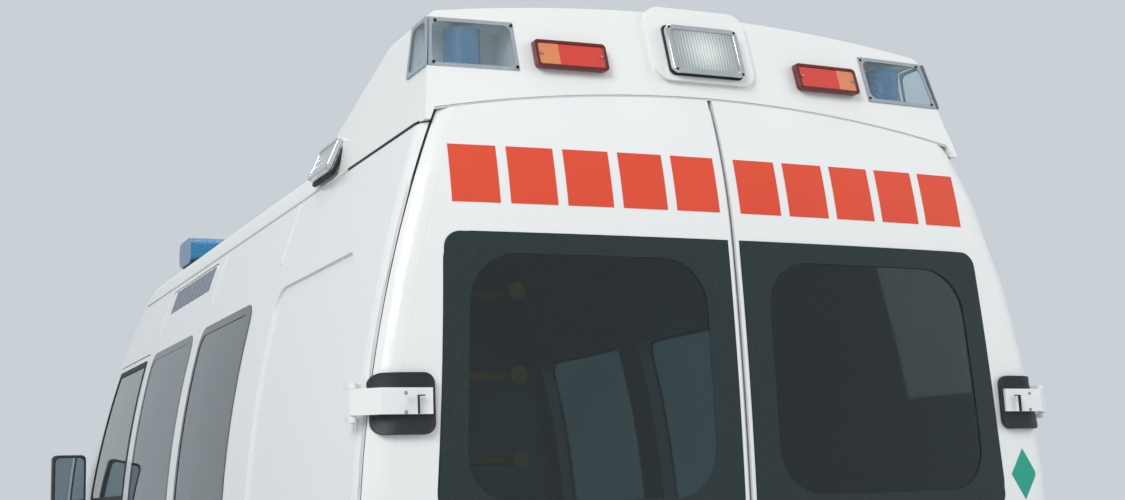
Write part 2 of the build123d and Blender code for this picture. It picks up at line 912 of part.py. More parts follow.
# Cab shell: pillars, windscreen frame, sills, firewall and the shelf below the windscreen
lower_split_y = cab_door_front_y - 40
cab_rear_y = cab_door_rear_y - 8
cab_top_z = cowl_z + 5
with BuildPart() as cab_region:
    with BuildSketch(Plane.YZ.offset(-1100)):
        with BuildLine():
            Polyline(
                (cab_rear_y, sill_z),
                (lower_split_y, sill_z),
                (lower_split_y, cab_top_z),
                (2400, cab_top_z),
                (2400, roof_joint_z),
                (cab_rear_y, roof_joint_z),
                close=True,
            )
        make_face()
    extrude(amount=2200)
firewall = fresh(lining) & box_between(
    (-1000, 1000), (firewall_y, firewall_y + 30), (floor_z - floor_thickness, cab_top_z + 15)
)
shelf = fresh(lining) & box_between((-1000, 1000), (firewall_y, cowl_y), (cab_top_z - 20, cab_top_z + 15))
firewall_cuts = [arch(side, front_axle_y, arch_radius + arch_liner + 6, 500, 1200) for side in (-1, 1)]
cab_cuts = [screen_prism(0) & fresh(seat_skin), screen_prism(-window_flange)]
for side in (-1, 1):
    cab_cuts.append(side_prism(cab_door_outline(door_gap), side, edge_slant))
    cab_cuts.append(arch(side, front_axle_y, arch_radius, body_half_width - arch_depth - 30, 1200))
with BuildPart() as firewall_plate:
    add(firewall)
    for cut in firewall_cuts:
        add(cut, mode=Mode.SUBTRACT)
with BuildPart() as cab_shell:
    add(fresh(shell) & cab_region.part)
    add(firewall_plate.part)
    add(shelf)
    for cut in cab_cuts:
        add(cut, mode=Mode.SUBTRACT)
save("cab_shell", cab_shell.part)
with BuildPart() as windscreen:
    add(fresh(outer_skin) & screen_prism(-seat_gap))
save("windscreen", windscreen.part)

# Nose: wings with cowl strip, grille and headlamps
nose_region = box_between((-1100, 1100), (lower_split_y, 2800), (sill_z, cab_top_z - seat_gap))
lamp_solids = []
wing_cuts = [
    box_between((-1100, 1100), (bumper_tail_y - 7, 2800), (0, bumper_top_z)),
    box_between((-grille_half_width, grille_half_width), (2450, 2800), (grille_bottom_z, lamp_top_z)),
    lid_prism(door_gap, lamp_top_z),
]
wing_joins = []
for side in (-1, 1):
    lamp_solids.append(fresh(nose_shell) & headlamp_prism(side))
    wing_cuts.append(headlamp_prism(side))
    wing_cuts.append(side_prism(cab_door_outline(door_gap), side, edge_slant))
    wing_cuts.append(arch(side, front_axle_y, arch_radius, body_half_width - arch_depth - 30, 1200))
    wing_cuts.append(stacked(side * cab_hinge_x, cab_hinge_y, cab_hinge_heights, -50, 50, hinge_relief))
    wing_cuts.append(
        lying(side * bonnet_hinge_x - bonnet_lug, bonnet_hinge_y, bonnet_hinge_z, bonnet_relief, 2 * bonnet_lug)
    )
    liner = arch(side, front_axle_y, arch_radius + arch_liner, body_half_width - arch_depth, 1100) & fresh(skin)
    liner = liner - arch(side, front_axle_y, arch_radius, 400, 1200)
    liner = liner & box_between((-1100, 1100), (cab_door_front_y + 16, 2400), (430, 900))
    wing_joins.append(liner)
    wing_joins.append(
        hinge_knuckles(side * cab_hinge_x, cab_hinge_y, cab_hinge_heights, cab_lug / 2, cab_hinge_web(side, 1))
    )
    wing_joins.extend(bonnet_hinge_blocks(side))
with BuildPart() as front_wings:
    add(fresh(nose_shell) & nose_region)
    for cut in wing_cuts:
        add(cut, mode=Mode.SUBTRACT)
    for piece in wing_joins:
        add(piece)
save("front_wings", front_wings.part)
grille_prism = box_between((-grille_half_width, grille_half_width), (2450, 2800), (grille_bottom_z, lamp_top_z))
with BuildPart() as grille:
    add(fresh(nose_shell) & grille_prism)
save("grille", grille.part)
with BuildPart() as headlamps:
    add(lamp_solids)
save("headlamps", headlamps.part)

# Front bumper, a bowed shell with a lower air opening
bumper_side = body_half_width - 4
bumper_turn_y = front_y - 300
outer_front = (600, front_y + 8, front_y + bumper_reach, bumper_side, bumper_side - 105, front_y - 60)
inner_front = (
    580,
    front_y - 40,
    front_y - 5,
    bumper_side - nose_wall,
    bumper_side - nose_wall - 95,
    front_y - 95,
)
with BuildPart() as front_bumper:
    for front, mode in ((outer_front, Mode.ADD), (inner_front, Mode.SUBTRACT)):
        bend_x, bend_y, tip_y, edge, turn_x, turn_y = front
        with BuildSketch(Plane.XY.offset(bumper_bottom_z)):
            with BuildLine():
                Polyline(
                    (-edge, bumper_turn_y), (-edge, bumper_tail_y), (edge, bumper_tail_y), (edge, bumper_turn_y)
                )
                ThreePointArc((edge, bumper_turn_y), (turn_x, turn_y), (bend_x, bend_y))
                ThreePointArc((bend_x, bend_y), (0, tip_y), (-bend_x, bend_y))
                ThreePointArc((-bend_x, bend_y), (-turn_x, turn_y), (-edge, bumper_turn_y))
            make_face()
        extrude(amount=bumper_top_z - seat_gap - bumper_bottom_z, mode=mode)
    with BuildSketch(Plane.XZ.offset(-2800)):
        with Locations((0, 470)):
            RectangleRounded(760, 130, 30)
    extrude(amount=250, mode=Mode.SUBTRACT)
save("front_bumper", front_bumper.part)

# Bonnet with its two hinge lugs at the cowl
lid_region = box_between((-1100, 1100), (2000, 2800), (lid_z, 1400))
bonnet_base = fresh(nose_shell) & lid_prism(0, 0) & lid_region
bonnet_reliefs, bonnet_lugs, bonnet_bores = [], [], []
for side in (-1, 1):
    middle = side * bonnet_hinge_x
    for start in (middle - bonnet_lug - 16, middle + bonnet_lug - 4):
        bonnet_reliefs.append(lying(start, bonnet_hinge_y, bonnet_hinge_z, bonnet_relief + 8, 20))
    lug_width = 2 * bonnet_lug - 10
    bonnet_lugs.append(bonnet_hinge_arm(middle - lug_width / 2, lug_width, 1))
    bonnet_bores.append(
        lying(middle - lug_width / 2 - 1, bonnet_hinge_y, bonnet_hinge_z, 4 + seat_gap, lug_width + 2)
    )
with BuildPart() as bonnet:
    add(bonnet_base)
    for cut in bonnet_reliefs:
        add(cut, mode=Mode.SUBTRACT)
    for piece in bonnet_lugs:
        add(piece)
    for cut in bonnet_bores:
        add(cut, mode=Mode.SUBTRACT)
save("bonnet", bonnet.part)

# Cab doors, their glass and mirrors
for side, name in ((-1, "left"), (1, "right")):
    hinge_spot = (side * cab_hinge_x, cab_hinge_y, cab_hinge_heights)
    door_base = fresh(shell) & side_prism(cab_door_outline(0), side, edge_slant)
    door_cuts = [
        side_prism(cab_door_outline(0, window=True), side) & fresh(seat_skin),
        side_prism(cab_door_outline(-window_flange, window=True), side),
        stacked(*hinge_spot, -50, 50, hinge_relief),
    ]
    lugs = []
    for z in cab_hinge_heights:
        lugs.append(hinge_lug(side * cab_hinge_x, cab_hinge_y, z, cab_lug, cab_hinge_web(side, -1)(z)))
    bores = stacked(*hinge_spot, -cab_lug, cab_lug, hinge_pin + seat_gap)
    with BuildPart() as cab_door:
        add(door_base)
        for cut in door_cuts:
            add(cut, mode=Mode.SUBTRACT)
        for lug in lugs:
            add(lug)
        add(bores, mode=Mode.SUBTRACT)
    save(f"cab_door_{name}", cab_door.part)
    with BuildPart() as cab_glass:
        add(fresh(outer_skin) & side_prism(cab_door_outline(-seat_gap, window=True), side))
    save(f"cab_glass_{name}", cab_glass.part)
    arm_z = mirror_z - 100
    with BuildPart() as mirror_housing:
        with BuildSketch(Plane.XY.offset(mirror_z - mirror_height / 2)):
            with Locations((side * (mirror_inner_x + mirror_width / 2), mirror_y)):
                RectangleRounded(mirror_width, mirror_depth, 35)
        extrude(amount=mirror_height)
        fillet(mirror_housing.edges().group_by(Axis.Z)[-1], 20)
        fillet(mirror_housing.edges().group_by(Axis.Z)[0], 20)
        with BuildSketch(Plane.YZ.offset(side * (side_x(arm_z) - 30))):
            with Locations((mirror_y, arm_z)):
                RectangleRounded(60, 44, 12)
        extrude(amount=side * (mirror_inner_x + 60 - side_x(arm_z)))
        add(fresh(skin), mode=Mode.SUBTRACT)
    save(f"mirror_{name}", mirror_housing.part)

# Rear doors with their hinge arms, and their windows
for side, name in ((-1, "left"), (1, "right")):
    hinge_spot = (side * rear_hinge_x, rear_hinge_y, rear_hinge_heights)
    door_base = fresh(shell) & rear_door_prism(side, 0)
    door_cuts = [
        rear_prism(rear_window_outline(side, 0)) & fresh(seat_skin),
        rear_prism(rear_window_outline(side, -window_flange - 20)),
        stacked(*hinge_spot, -51, 51, hinge_relief),
    ]
    arms = []
    arm_tip_x = rear_hinge_x - arm_reach
    for z in rear_hinge_heights:
        skin_y = rear_y + arm_tip_x**2 / (2 * rear_bow_radius) + rear_lean(z)
        arm_outline = (
            (side * (rear_hinge_x - hinge_barrel), rear_hinge_y),
            (side * (rear_hinge_x - hinge_barrel), rear_hinge_y - 6),
            (side * (rear_hinge_x - 60), skin_y + 26),
            (side * arm_tip_x, skin_y + 10),
            (side * arm_tip_x, skin_y - 22),
            (side * (rear_hinge_x - 50), skin_y - 18),
            (side * (rear_hinge_x + hinge_barrel - 3), rear_hinge_y - 12),
            (side * (rear_hinge_x + hinge_barrel), rear_hinge_y),
        )
        arms.append(hinge_lug(side * rear_hinge_x, rear_hinge_y, z, arm_height, arm_outline))
    bores = stacked(*hinge_spot, -arm_height, arm_height, hinge_pin + seat_gap)
    with BuildPart() as rear_door:
        add(door_base)
        for cut in door_cuts:
            add(cut, mode=Mode.SUBTRACT)
        for arm in arms:
            add(arm)
        add(bores, mode=Mode.SUBTRACT)
    save(f"rear_door_{name}", rear_door.part)
    with BuildPart() as rear_window:
        add(fresh(outer_skin) & rear_prism(rear_window_outline(side, -seat_gap)))
    save(f"rear_window_{name}", rear_window.part)

# Rear step, bolted to the ends of the chassis rails
with BuildPart() as rear_step:
    with BuildSketch(Plane.XY.offset(step_bottom_z)):
        with Locations((0, (step_rear_y + step_front_y) / 2)):
            RectangleRounded(2 * step_half_width, step_front_y - step_rear_y, 40)
    extrude(amount=step_top_z - step_bottom_z)
save("rear_step", rear_step.part)

# Light bar on the front of the roof
bar_y, bar_z, bar_half_width, bar_depth, bar_height = 1060, 2452, 690, 260, 110
with BuildPart() as light_bar:
    with BuildSketch(Plane.YZ.offset(-bar_half_width)):
        with Locations((bar_y, bar_z + bar_height / 2)):
            RectangleRounded(bar_depth, bar_height, 40)
    extrude(amount=2 * bar_half_width)
    with BuildSketch(Plane.XY.offset(roof_z - 60)):
        with Locations((-500, bar_y), (500, bar_y)):
            Rectangle(60, 140)
    extrude(amount=bar_z - roof_z + 70)
    add(fresh(skin), mode=Mode.SUBTRACT)
save("light_bar", light_bar.part)

# Floor with its stretcher plate, chassis rails and crossmembers
floor_bottom_z = floor_z - floor_thickness
rail_bottom_z = floor_bottom_z - rail_height
floor_half_width = side_x(floor_bottom_z) - wall - seat_gap
floor_rear_y = rear_y + 114
rail_rear_y = step_front_y + seat_gap
rail_front_y = 2450
arch_cuts = [arch(side, rear_axle_y, arch_radius + arch_liner + 4, 700, 1000) for side in (-1, 1)]
footwell_half_width = body_half_width - arch_depth - 15
door_swing_x, door_swing_y = 75, 120
half_floor = (
    (floor_half_width - door_swing_x, floor_rear_y),
    (floor_half_width, floor_rear_y + door_swing_y),
    (floor_half_width, floor_front_y),
    (footwell_half_width, floor_front_y),
    (footwell_half_width, firewall_y - seat_gap),
)
plate_rear_y, plate_front_y, plate_width, plate_thickness = -2400, -330, 640, 12
with BuildPart() as floor:
    with BuildSketch(Plane.XY.offset(floor_bottom_z)):
        with BuildLine():
            Polyline(*half_floor, *((-x, y) for x, y in reversed(half_floor)), close=True)
        make_face()
    extrude(amount=floor_thickness)
    with BuildSketch(Plane.XY.offset(floor_z)):
        with Locations((0, (plate_rear_y + plate_front_y) / 2)):
            RectangleRounded(plate_width, plate_front_y - plate_rear_y, 40)
    extrude(amount=plate_thickness)
    with BuildSketch(Plane.XY.offset(rail_bottom_z)):
        with Locations((-rail_x, (rail_rear_y + rail_front_y) / 2), (rail_x, (rail_rear_y + rail_front_y) / 2)):
            Rectangle(rail_width, rail_front_y - rail_rear_y)
        with Locations((0, -2300), (0, -1100), (0, -100), (0, 900)):
            Rectangle(2 * rail_x, 60)
    extrude(amount=rail_height)
    for cut in arch_cuts:
        add(cut, mode=Mode.SUBTRACT)
save("floor", floor.part)

# Bulkhead between cab and load space, with a doorway
bulkhead_y, bulkhead_thickness = 655, 27
bulkhead_base = fresh(lining) & box_between(
    (-1100, 1100), (bulkhead_y, bulkhead_y + bulkhead_thickness), (floor_z + seat_gap, 2350)
)
with BuildPart() as bulkhead:
    add(bulkhead_base)
    with BuildSketch(Plane.XZ.offset(-bulkhead_y - 40)):
        with Locations((0, 1250)):
            RectangleRounded(560, 1300, 80)
    extrude(amount=60, mode=Mode.SUBTRACT)
save("bulkhead", bulkhead.part)

# Wheels
corners = {
    "front_left": (-front_wheel_x, front_axle_y),
    "front_right": (front_wheel_x, front_axle_y),
    "rear_left": (-rear_wheel_x, rear_axle_y),
    "rear_right": (rear_wheel_x, rear_axle_y),
}
rim_lip, rim_barrel_radius, rim_disc_x, rim_disc_thickness = 12, 188, 42, 14
hand_hole_circle, hand_hole_radius, hand_hole_count = 150, 17, 10
for name, (wheel_x, wheel_y) in corners.items():
    outward = 1 if wheel_x > 0 else -1
    hub = Plane(origin=(wheel_x, wheel_y, tyre_radius), x_dir=(0, 1, 0), z_dir=(outward, 0, 0))
    half = tyre_width / 2
    section_plane = Plane(hub.origin, x_dir=hub.z_dir, z_dir=(0, -outward, 0))
    with BuildPart() as tyre:
        with BuildSketch(section_plane):
            with BuildLine():
                tread = half - tyre_shoulder * 0.6
                shoulder = tyre_radius - tyre_shoulder * 0.5
                bead = rim_radius + seat_gap
                Polyline((14 - half, bead), (half - 14, bead))
                ThreePointArc((half - 14, bead), (half, (bead + shoulder) / 2), (half - 8, shoulder))
                ThreePointArc((half - 8, shoulder), (half - 13, tyre_radius - 7), (tread - 4, tyre_radius))
                Line((tread - 4, tyre_radius), (4 - tread, tyre_radius))
                ThreePointArc((4 - tread, tyre_radius), (13 - half, tyre_radius - 7), (8 - half, shoulder))
                ThreePointArc((8 - half, shoulder), (-half, (bead + shoulder) / 2), (14 - half, bead))
            make_face()
        revolve(axis=Axis(hub.origin, (outward, 0, 0)))
    with BuildPart() as rim:
        with BuildSketch(section_plane):
            with BuildLine():
                Polyline(
                    (14 - half, rim_radius),
                    (half - 14, rim_radius),
                    (half - 14, rim_radius - rim_lip),
                    (rim_disc_x + rim_disc_thickness + 6, rim_barrel_radius - 3),
                    (rim_disc_x + rim_disc_thickness, 120),
                    (rim_disc_x + rim_disc_thickness + 14, 96),
                    (rim_disc_x + rim_disc_thickness + 14, hub_radius + seat_gap),
                    (rim_disc_x, hub_radius + seat_gap),
                    (rim_disc_x, 110),
                    (rim_disc_x - 8, rim_barrel_radius - 12),
                    (rim_disc_x - 14, rim_barrel_radius),
                    (14 - half, rim_radius - rim_lip),
                    close=True,
                )
            make_face()
        revolve(axis=Axis(hub.origin, (outward, 0, 0)))
        with BuildSketch(hub.offset(rim_disc_x - 60)):
            with PolarLocations(hand_hole_circle, hand_hole_count):
                Circle(hand_hole_radius)
        extrude(amount=120, mode=Mode.SUBTRACT)
    save(f"tyre_{name}", tyre.part)
    save(f"rim_{name}", rim.part)

# Front knuckles on two ball joints, each with the disc and the stub that carry its wheel
ball_heights = (tyre_radius - ball_rise, tyre_radius + ball_rise)
disc_radius, disc_thickness = 140, 24
hub_reach = rim_disc_x + rim_disc_thickness + 20
hub_flange = 15
for side, name in ((-1, "left"), (1, "right")):
    centre = (front_axle_y, tyre_radius)
    with BuildPart() as knuckle:
        with BuildSketch(Plane.XY.offset(ball_heights[0] + ball_radius - 2)):
            with Locations((side * kingpin_x, front_axle_y)):
                Rectangle(64, 70)
        extrude(amount=2 * (ball_rise - ball_radius + 2))
        with BuildSketch(Plane.YZ.offset(side * (kingpin_x + 30))):
            with Locations(centre):
                Circle(disc_radius)
        extrude(amount=side * disc_thickness)
        with BuildSketch(Plane.YZ.offset(side * kingpin_x)):
            with Locations(centre):
                Circle(hub_radius)
        extrude(amount=side * (front_wheel_x + hub_reach - kingpin_x))
        with BuildSketch(Plane.YZ.offset(side * (front_wheel_x + rim_disc_x - hub_flange))):
            with Locations(centre):
                Circle(hub_radius + 20)
        extrude(amount=side * (hub_flange - seat_gap))
        with Locations(*((side * kingpin_x, front_axle_y, z) for z in ball_heights)):
            Sphere(ball_radius + seat_gap, mode=Mode.SUBTRACT)
    save(f"knuckle_{name}", knuckle.part)

# Front subframe with both pairs of wishbones, springs and ball joints
subframe_x, beam_y = 410, 165
beam_bottom_z = ball_heights[0] - 20
arm_root_y = 185
with BuildPart() as front_subframe:
    with BuildSketch(Plane.XY.offset(beam_bottom_z)):
        with Locations((0, front_axle_y - beam_y), (0, front_axle_y + beam_y)):
            Rectangle(2 * subframe_x + 70, 70)
    extrude(amount=50)
    with BuildSketch(Plane.XY.offset(beam_bottom_z)):
        for x in (-subframe_x, subframe_x):
            with Locations((x, front_axle_y - beam_y), (x, front_axle_y + beam_y)):
                Rectangle(64, 64)
    extrude(amount=rail_bottom_z - seat_gap - beam_bottom_z)
    for side in (-1, 1):
        rail_side = rail_x + rail_width / 2 + seat_gap
        for z, root_x in ((ball_heights[0], subframe_x), (ball_heights[1], rail_side + 10)):
            with BuildSketch(Plane.XY.offset(z - 11)):
                with BuildLine():
                    Polyline(
                        (side * (kingpin_x + 14), front_axle_y + 14),
                        (side * (kingpin_x + 14), front_axle_y - 14),
                        (side * root_x, front_axle_y - arm_root_y),
                        (side * root_x, front_axle_y + arm_root_y),
                        close=True,
                    )
                make_face()
                with BuildLine():
                    Polyline(
                        (side * (kingpin_x - 150), front_axle_y + 10),
                        (side * (kingpin_x - 150), front_axle_y - 10),
                        (side * (root_x + 60), front_axle_y - 112),
                        (side * (root_x + 60), front_axle_y + 112),
                        close=True,
                    )
                make_face(mode=Mode.SUBTRACT)
            extrude(amount=22)
        bracket_x = rail_side + 20
        with BuildSketch(Plane.XY.offset(ball_heights[1] - 30)):
            with Locations((side * bracket_x, front_axle_y)):
                Rectangle(40, 2 * arm_root_y)
        extrude(amount=60)
        with BuildSketch(Plane.XY.offset(ball_heights[0])):
            with Locations((side * (kingpin_x - 200), front_axle_y)):
                Circle(42)
        extrude(amount=430)
        with Locations(*((side * kingpin_x, front_axle_y, z) for z in ball_heights)):
            Sphere(ball_radius)
save("front_subframe", front_subframe.part)

# Engine, a plain block behind the grille, resting on the front beam
with BuildPart() as engine_block:
    with BuildSketch(Plane.XY.offset(beam_bottom_z + 50 + seat_gap)):
        with Locations((0, 2215)):
            Rectangle(620, 410)
    extrude(amount=600)
    fillet(engine_block.edges().filter_by(Axis.Z), 30)
save("engine_block", engine_block.part)

# Rear axle with differential, drums and leaf springs
spring_x, spring_width, leaf = 520, 70, 30
leaf_rise, leaf_reach = 36, 620
leaf_end_z = 440
hub_face_x = rear_wheel_x + rim_disc_x - seat_gap
drum_face_x = rear_wheel_x + rim_disc_x - 12
with BuildPart() as rear_axle:
    with BuildSketch(Plane((0, rear_axle_y, tyre_radius), x_dir=(1, 0, 0), z_dir=(0, -1, 0))):
        with BuildLine():
            half_profile = (
                (0, 150),
                (70, 140),
                (130, 90),
                (180, 48),
                (rear_wheel_x - 70, 48),
                (rear_wheel_x - 70, disc_radius),
                (drum_face_x, disc_radius),
                (drum_face_x, hub_radius + 20),
                (hub_face_x, hub_radius + 20),
                (hub_face_x, hub_radius),
                (rear_wheel_x + hub_reach, hub_radius),
                (rear_wheel_x + hub_reach, 0),
            )
            Polyline(*half_profile, *((-x, radius) for x, radius in half_profile[:0:-1]), close=True)
        make_face()
    revolve(axis=Axis((0, rear_axle_y, tyre_radius), (1, 0, 0)))
    for side in (-1, 1):
        with BuildSketch(Plane.YZ.offset(side * spring_x - spring_width / 2)):
            with BuildLine():
                low = tyre_radius + leaf_rise
                ThreePointArc(
                    (rear_axle_y - leaf_reach, leaf_end_z),
                    (rear_axle_y, low),
                    (rear_axle_y + leaf_reach, leaf_end_z),
                )
                Line((rear_axle_y + leaf_reach, leaf_end_z), (rear_axle_y + leaf_reach, leaf_end_z + leaf))
                ThreePointArc(
                    (rear_axle_y + leaf_reach, leaf_end_z + leaf),
                    (rear_axle_y, low + leaf),
                    (rear_axle_y - leaf_reach, leaf_end_z + leaf),
                )
                Line((rear_axle_y - leaf_reach, leaf_end_z + leaf), (rear_axle_y - leaf_reach, leaf_end_z))
            make_face()
        extrude(amount=spring_width)
        with BuildSketch(Plane.XY.offset(leaf_end_z - 30)):
            with Locations((side * spring_x, rear_axle_y - 590), (side * spring_x, rear_axle_y + 590)):
                Rectangle(spring_width - 10, 40)
        extrude(amount=floor_bottom_z - seat_gap - leaf_end_z + 30)
save("rear_axle", rear_axle.part)

# Fuel tank under the left side, exhaust under the right
with BuildPart() as tank_and_exhaust:
    with BuildSketch(Plane.XZ.offset(-350)):
        with Locations((-680, (370 + floor_bottom_z - seat_gap) / 2)):
            RectangleRounded(400, floor_bottom_z - seat_gap - 370, 40)
    extrude(amount=900)
    with BuildSketch(Plane.XZ.offset(-1300)):
        with Locations((250, 370)):
            Circle(28)
    extrude(amount=2500)
    with BuildSketch(Plane.XZ.offset(300)):
        with Locations((250, 370)):
            SlotOverall(280, 118)
    extrude(amount=560)
    with BuildSketch(Plane.XY.offset(380)):
        with Locations((250, 900), (250, -100), (250, -1100)):
            Rectangle(24, 40)
    extrude(amount=rail_bottom_z - seat_gap - 380)
save("tank_and_exhaust", tank_and_exhaust.part)

# Seats
with BuildPart() as seats:
    for x in (-480, 480):
        with BuildSketch(Plane.XY.offset(floor_z + seat_gap)):
            with Locations((x, 1050)):
                Rectangle(420, 400)
        extrude(amount=260)
        with BuildSketch(Plane.XY.offset(floor_z + 250)):
            with Locations((x, 1060)):
                RectangleRounded(500, 480, 60)
        extrude(amount=130)
        with BuildSketch(Plane.YZ.offset(x - 240)):
            with BuildLine():
                Polyline((800, 940), (930, 930), (860, 1560), (770, 1560), close=True)
            make_face()
        extrude(amount=480)
        with BuildSketch(Plane.YZ.offset(x - 120)):
            with Locations((800, 1620)):
                RectangleRounded(76, 170, 25)
        extrude(amount=240)
save("seats", seats.part)

# Dashboard with column and steering wheel
with BuildPart() as dashboard:
    with BuildSketch(Plane.YZ.offset(-830)):
        with BuildLine():
            Polyline(
                (1620, 1180),
                (1620, 1000),
                (1700, 880),
                (firewall_y - seat_gap, 880),
                (firewall_y - seat_gap, 1240),
                (1720, 1240),
                close=True,
            )
        make_face()
    extrude(amount=1660)
    fillet(dashboard.edges().filter_by(Axis.X).group_by(Axis.Z)[-1], 30)
    column = Plane(origin=(480, 1640, 1080), x_dir=(1, 0, 0), z_dir=(0, -0.87, 0.5))
    with BuildSketch(column):
        Circle(32)
    extrude(amount=170)
    with BuildSketch(column.offset(160)):
        Circle(195)
        Circle(165, mode=Mode.SUBTRACT)
        Rectangle(350, 46)
        Circle(60)
    extrude(amount=28)
save("dashboard", dashboard.part)

# Lockers with a work surface along the right wall
locker_cut = arch(1, rear_axle_y, arch_radius + 20, 735, 1000)
with BuildPart() as lockers:
    with BuildSketch(Plane.XY.offset(floor_z + seat_gap)):
        with Locations((640, -1000)):
            Rectangle(420, 2900)
    extrude(amount=1220 - floor_z)
    with BuildSketch(Plane.XY.offset(1220)):
        with Locations((635, -1000)):
            Rectangle(450, 2910)
    extrude(amount=30)
    add(locker_cut, mode=Mode.SUBTRACT)
save("lockers", lockers.part)
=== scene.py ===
import math
from collections import namedtuple

import bmesh
import bpy
from mathutils import Matrix, Vector


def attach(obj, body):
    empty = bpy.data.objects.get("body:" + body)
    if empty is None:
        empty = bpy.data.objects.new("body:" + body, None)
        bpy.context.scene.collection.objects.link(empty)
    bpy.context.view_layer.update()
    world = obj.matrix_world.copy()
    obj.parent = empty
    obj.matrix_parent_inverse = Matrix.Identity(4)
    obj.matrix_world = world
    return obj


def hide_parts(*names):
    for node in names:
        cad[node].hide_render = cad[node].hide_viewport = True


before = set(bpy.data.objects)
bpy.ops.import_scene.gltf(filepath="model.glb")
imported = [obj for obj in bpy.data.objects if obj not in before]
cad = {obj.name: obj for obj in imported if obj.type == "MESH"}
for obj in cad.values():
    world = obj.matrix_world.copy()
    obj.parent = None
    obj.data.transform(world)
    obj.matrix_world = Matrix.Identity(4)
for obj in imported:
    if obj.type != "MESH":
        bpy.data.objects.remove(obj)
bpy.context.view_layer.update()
for old in [o for o in bpy.data.objects if o.type in ("LIGHT", "CAMERA")]:
    bpy.data.objects.remove(old)

# Body panels: pressed steel sheet in white two-pack enamel, welded at the pillars. The enamel is
# smooth and hard with a faint orange peel, and road film greys it towards the sills.
Finish = namedtuple("Finish", "material tree shader place")


def linear(hex_colour):
    """An sRGB hex value as the linear colour that a socket takes."""
    parts = [int(hex_colour[i : i + 2], 16) / 255 for i in (1, 3, 5)]
    return [c / 12.92 if c <= 0.04045 else ((c + 0.055) / 1.055) ** 2.4 for c in parts] + [1.0]


def add_node(tree, kind, *values, **named):
    """Add a node with its settings, which are lower case, and its inputs, in turn or by name."""
    node = tree.nodes.new(kind if "Node" in kind else "ShaderNode" + kind)
    for key, value in named.items():
        if key.islower():
            setattr(node, key, value)
    inputs = {key.replace("_", " "): value for key, value in named.items() if not key.islower()}
    for key, value in (*enumerate(values), *inputs.items()):
        if isinstance(value, bpy.types.NodeSocket):
            tree.links.new(value, node.inputs[key])
        else:
            node.inputs[key].default_value = value
    return node


def start_finish(name, colour, roughness, **values):
    """A new finish: its material, its node tree, its shader and its Object coordinates."""
    material = bpy.data.materials.new(name)
    material.use_nodes = True
    tree = material.node_tree
    shader = tree.nodes["Principled BSDF"]
    shader.inputs["Base Color"].default_value = linear(colour)
    shader.inputs["Roughness"].default_value = roughness
    for key, value in values.items():
        shader.inputs[key.replace("_", " ")].default_value = value
    place = add_node(tree, "TexCoord").outputs["Object"]
    return Finish(material, tree, shader, place)


def bump_by(finish, height, depth, strength=1.0):
    """Link a height pattern to the shader as bump, with its depth in metres."""
    bump = add_node(finish.tree, "Bump", Height=height, Distance=depth, Strength=strength)
    finish.tree.links.new(bump.outputs["Normal"], finish.shader.inputs["Normal"])


def between(finish, factor, low, high):
    """A colour between two by a factor socket. Each is a hex value or a socket."""
    low, high = (linear(c) if isinstance(c, str) else c for c in (low, high))
    mix = add_node(finish.tree, "Mix", Factor=factor, A=low, B=high, data_type="RGBA")
    return mix.outputs["Result"]


def tint_by(finish, factor, low, high):
    """Colour the shader between two colours by a factor socket."""
    colour = between(finish, factor, low, high)
    finish.tree.links.new(colour, finish.shader.inputs["Base Color"])


def roughen(finish, scale, depth, detail=3.0):
    """Give the surface fine uneven relief: 1000 over its grit in mm is the scale."""
    grit = add_node(finish.tree, "TexNoise", Vector=finish.place, Scale=scale, Detail=detail)
    bump_by(finish, grit.outputs["Fac"], depth)


def white_finish(name, clean, film_colour, roughness, coat):
    """Glossy white with road film that thickens between two heights towards the ground."""
    finish = start_finish(name, clean, roughness, Coat_Weight=coat, Coat_Roughness=0.06)
    tree, place, thin_z, thick_z = finish.tree, finish.place, 1.1, 0.35
    height = add_node(tree, "SeparateXYZ", place).outputs["Z"]
    low = add_node(tree, "MapRange", height, From_Min=thin_z, From_Max=thick_z).outputs["Result"]
    cloud = add_node(tree, "TexNoise", Vector=place, Scale=5.0, Detail=6.0).outputs["Fac"]
    spots = add_node(tree, "Math", cloud, low, operation="MULTIPLY").outputs["Value"]
    tint_by(finish, spots, clean, film_colour)
    roughen(finish, 420.0, 0.00004, 1.0)
    return finish


def smoothing_tree():
    """Geometry nodes that join a CAD mesh's triangles and keep only its real edges sharp."""
    tree = bpy.data.node_groups.new("smooth_by_angle", "GeometryNodeTree")
    for in_out in ("INPUT", "OUTPUT"):
        tree.interface.new_socket("Geometry", in_out=in_out, socket_type="NodeSocketGeometry")
    start = add_node(tree, "NodeGroupInput").outputs[0]
    joined = add_node(tree, "GeometryNodeMergeByDistance", Geometry=start, Distance=0.00001)
    angle = add_node(tree, "GeometryNodeInputMeshEdgeAngle").outputs["Unsigned Angle"]
    widest = math.radians(28)
    sharp = add_node(tree, "FunctionNodeCompare", angle, widest, operation="GREATER_THAN")
    shade = "GeometryNodeSetShadeSmooth"
    soft = add_node(tree, shade, joined.outputs[0], domain="FACE").outputs[0]
    edged = add_node(tree, shade, soft, sharp.outputs[0], False, domain="EDGE").outputs[0]
    add_node(tree, "NodeGroupOutput", edged)
    return tree


smoothing = smoothing_tree()


def dress(finish, *names):
    """Give CAD nodes their finish and smooth shading between their real edges."""
    for name in names:
        cad[name].data.materials.clear()
        cad[name].data.materials.append(finish.material)
        cad[name].modifiers.new("smooth", "NODES").node_group = smoothing


enamel = white_finish("two_pack_enamel_white", "#EDEEEC", "#A59F92", 0.24, 0.5)
dress(enamel, "side_panel_left", "side_panel_right", "sliding_door", "cab_shell", "front_wings")
dress(enamel, "bonnet", "cab_door_left", "cab_door_right", "rear_door_left", "rear_door_right")

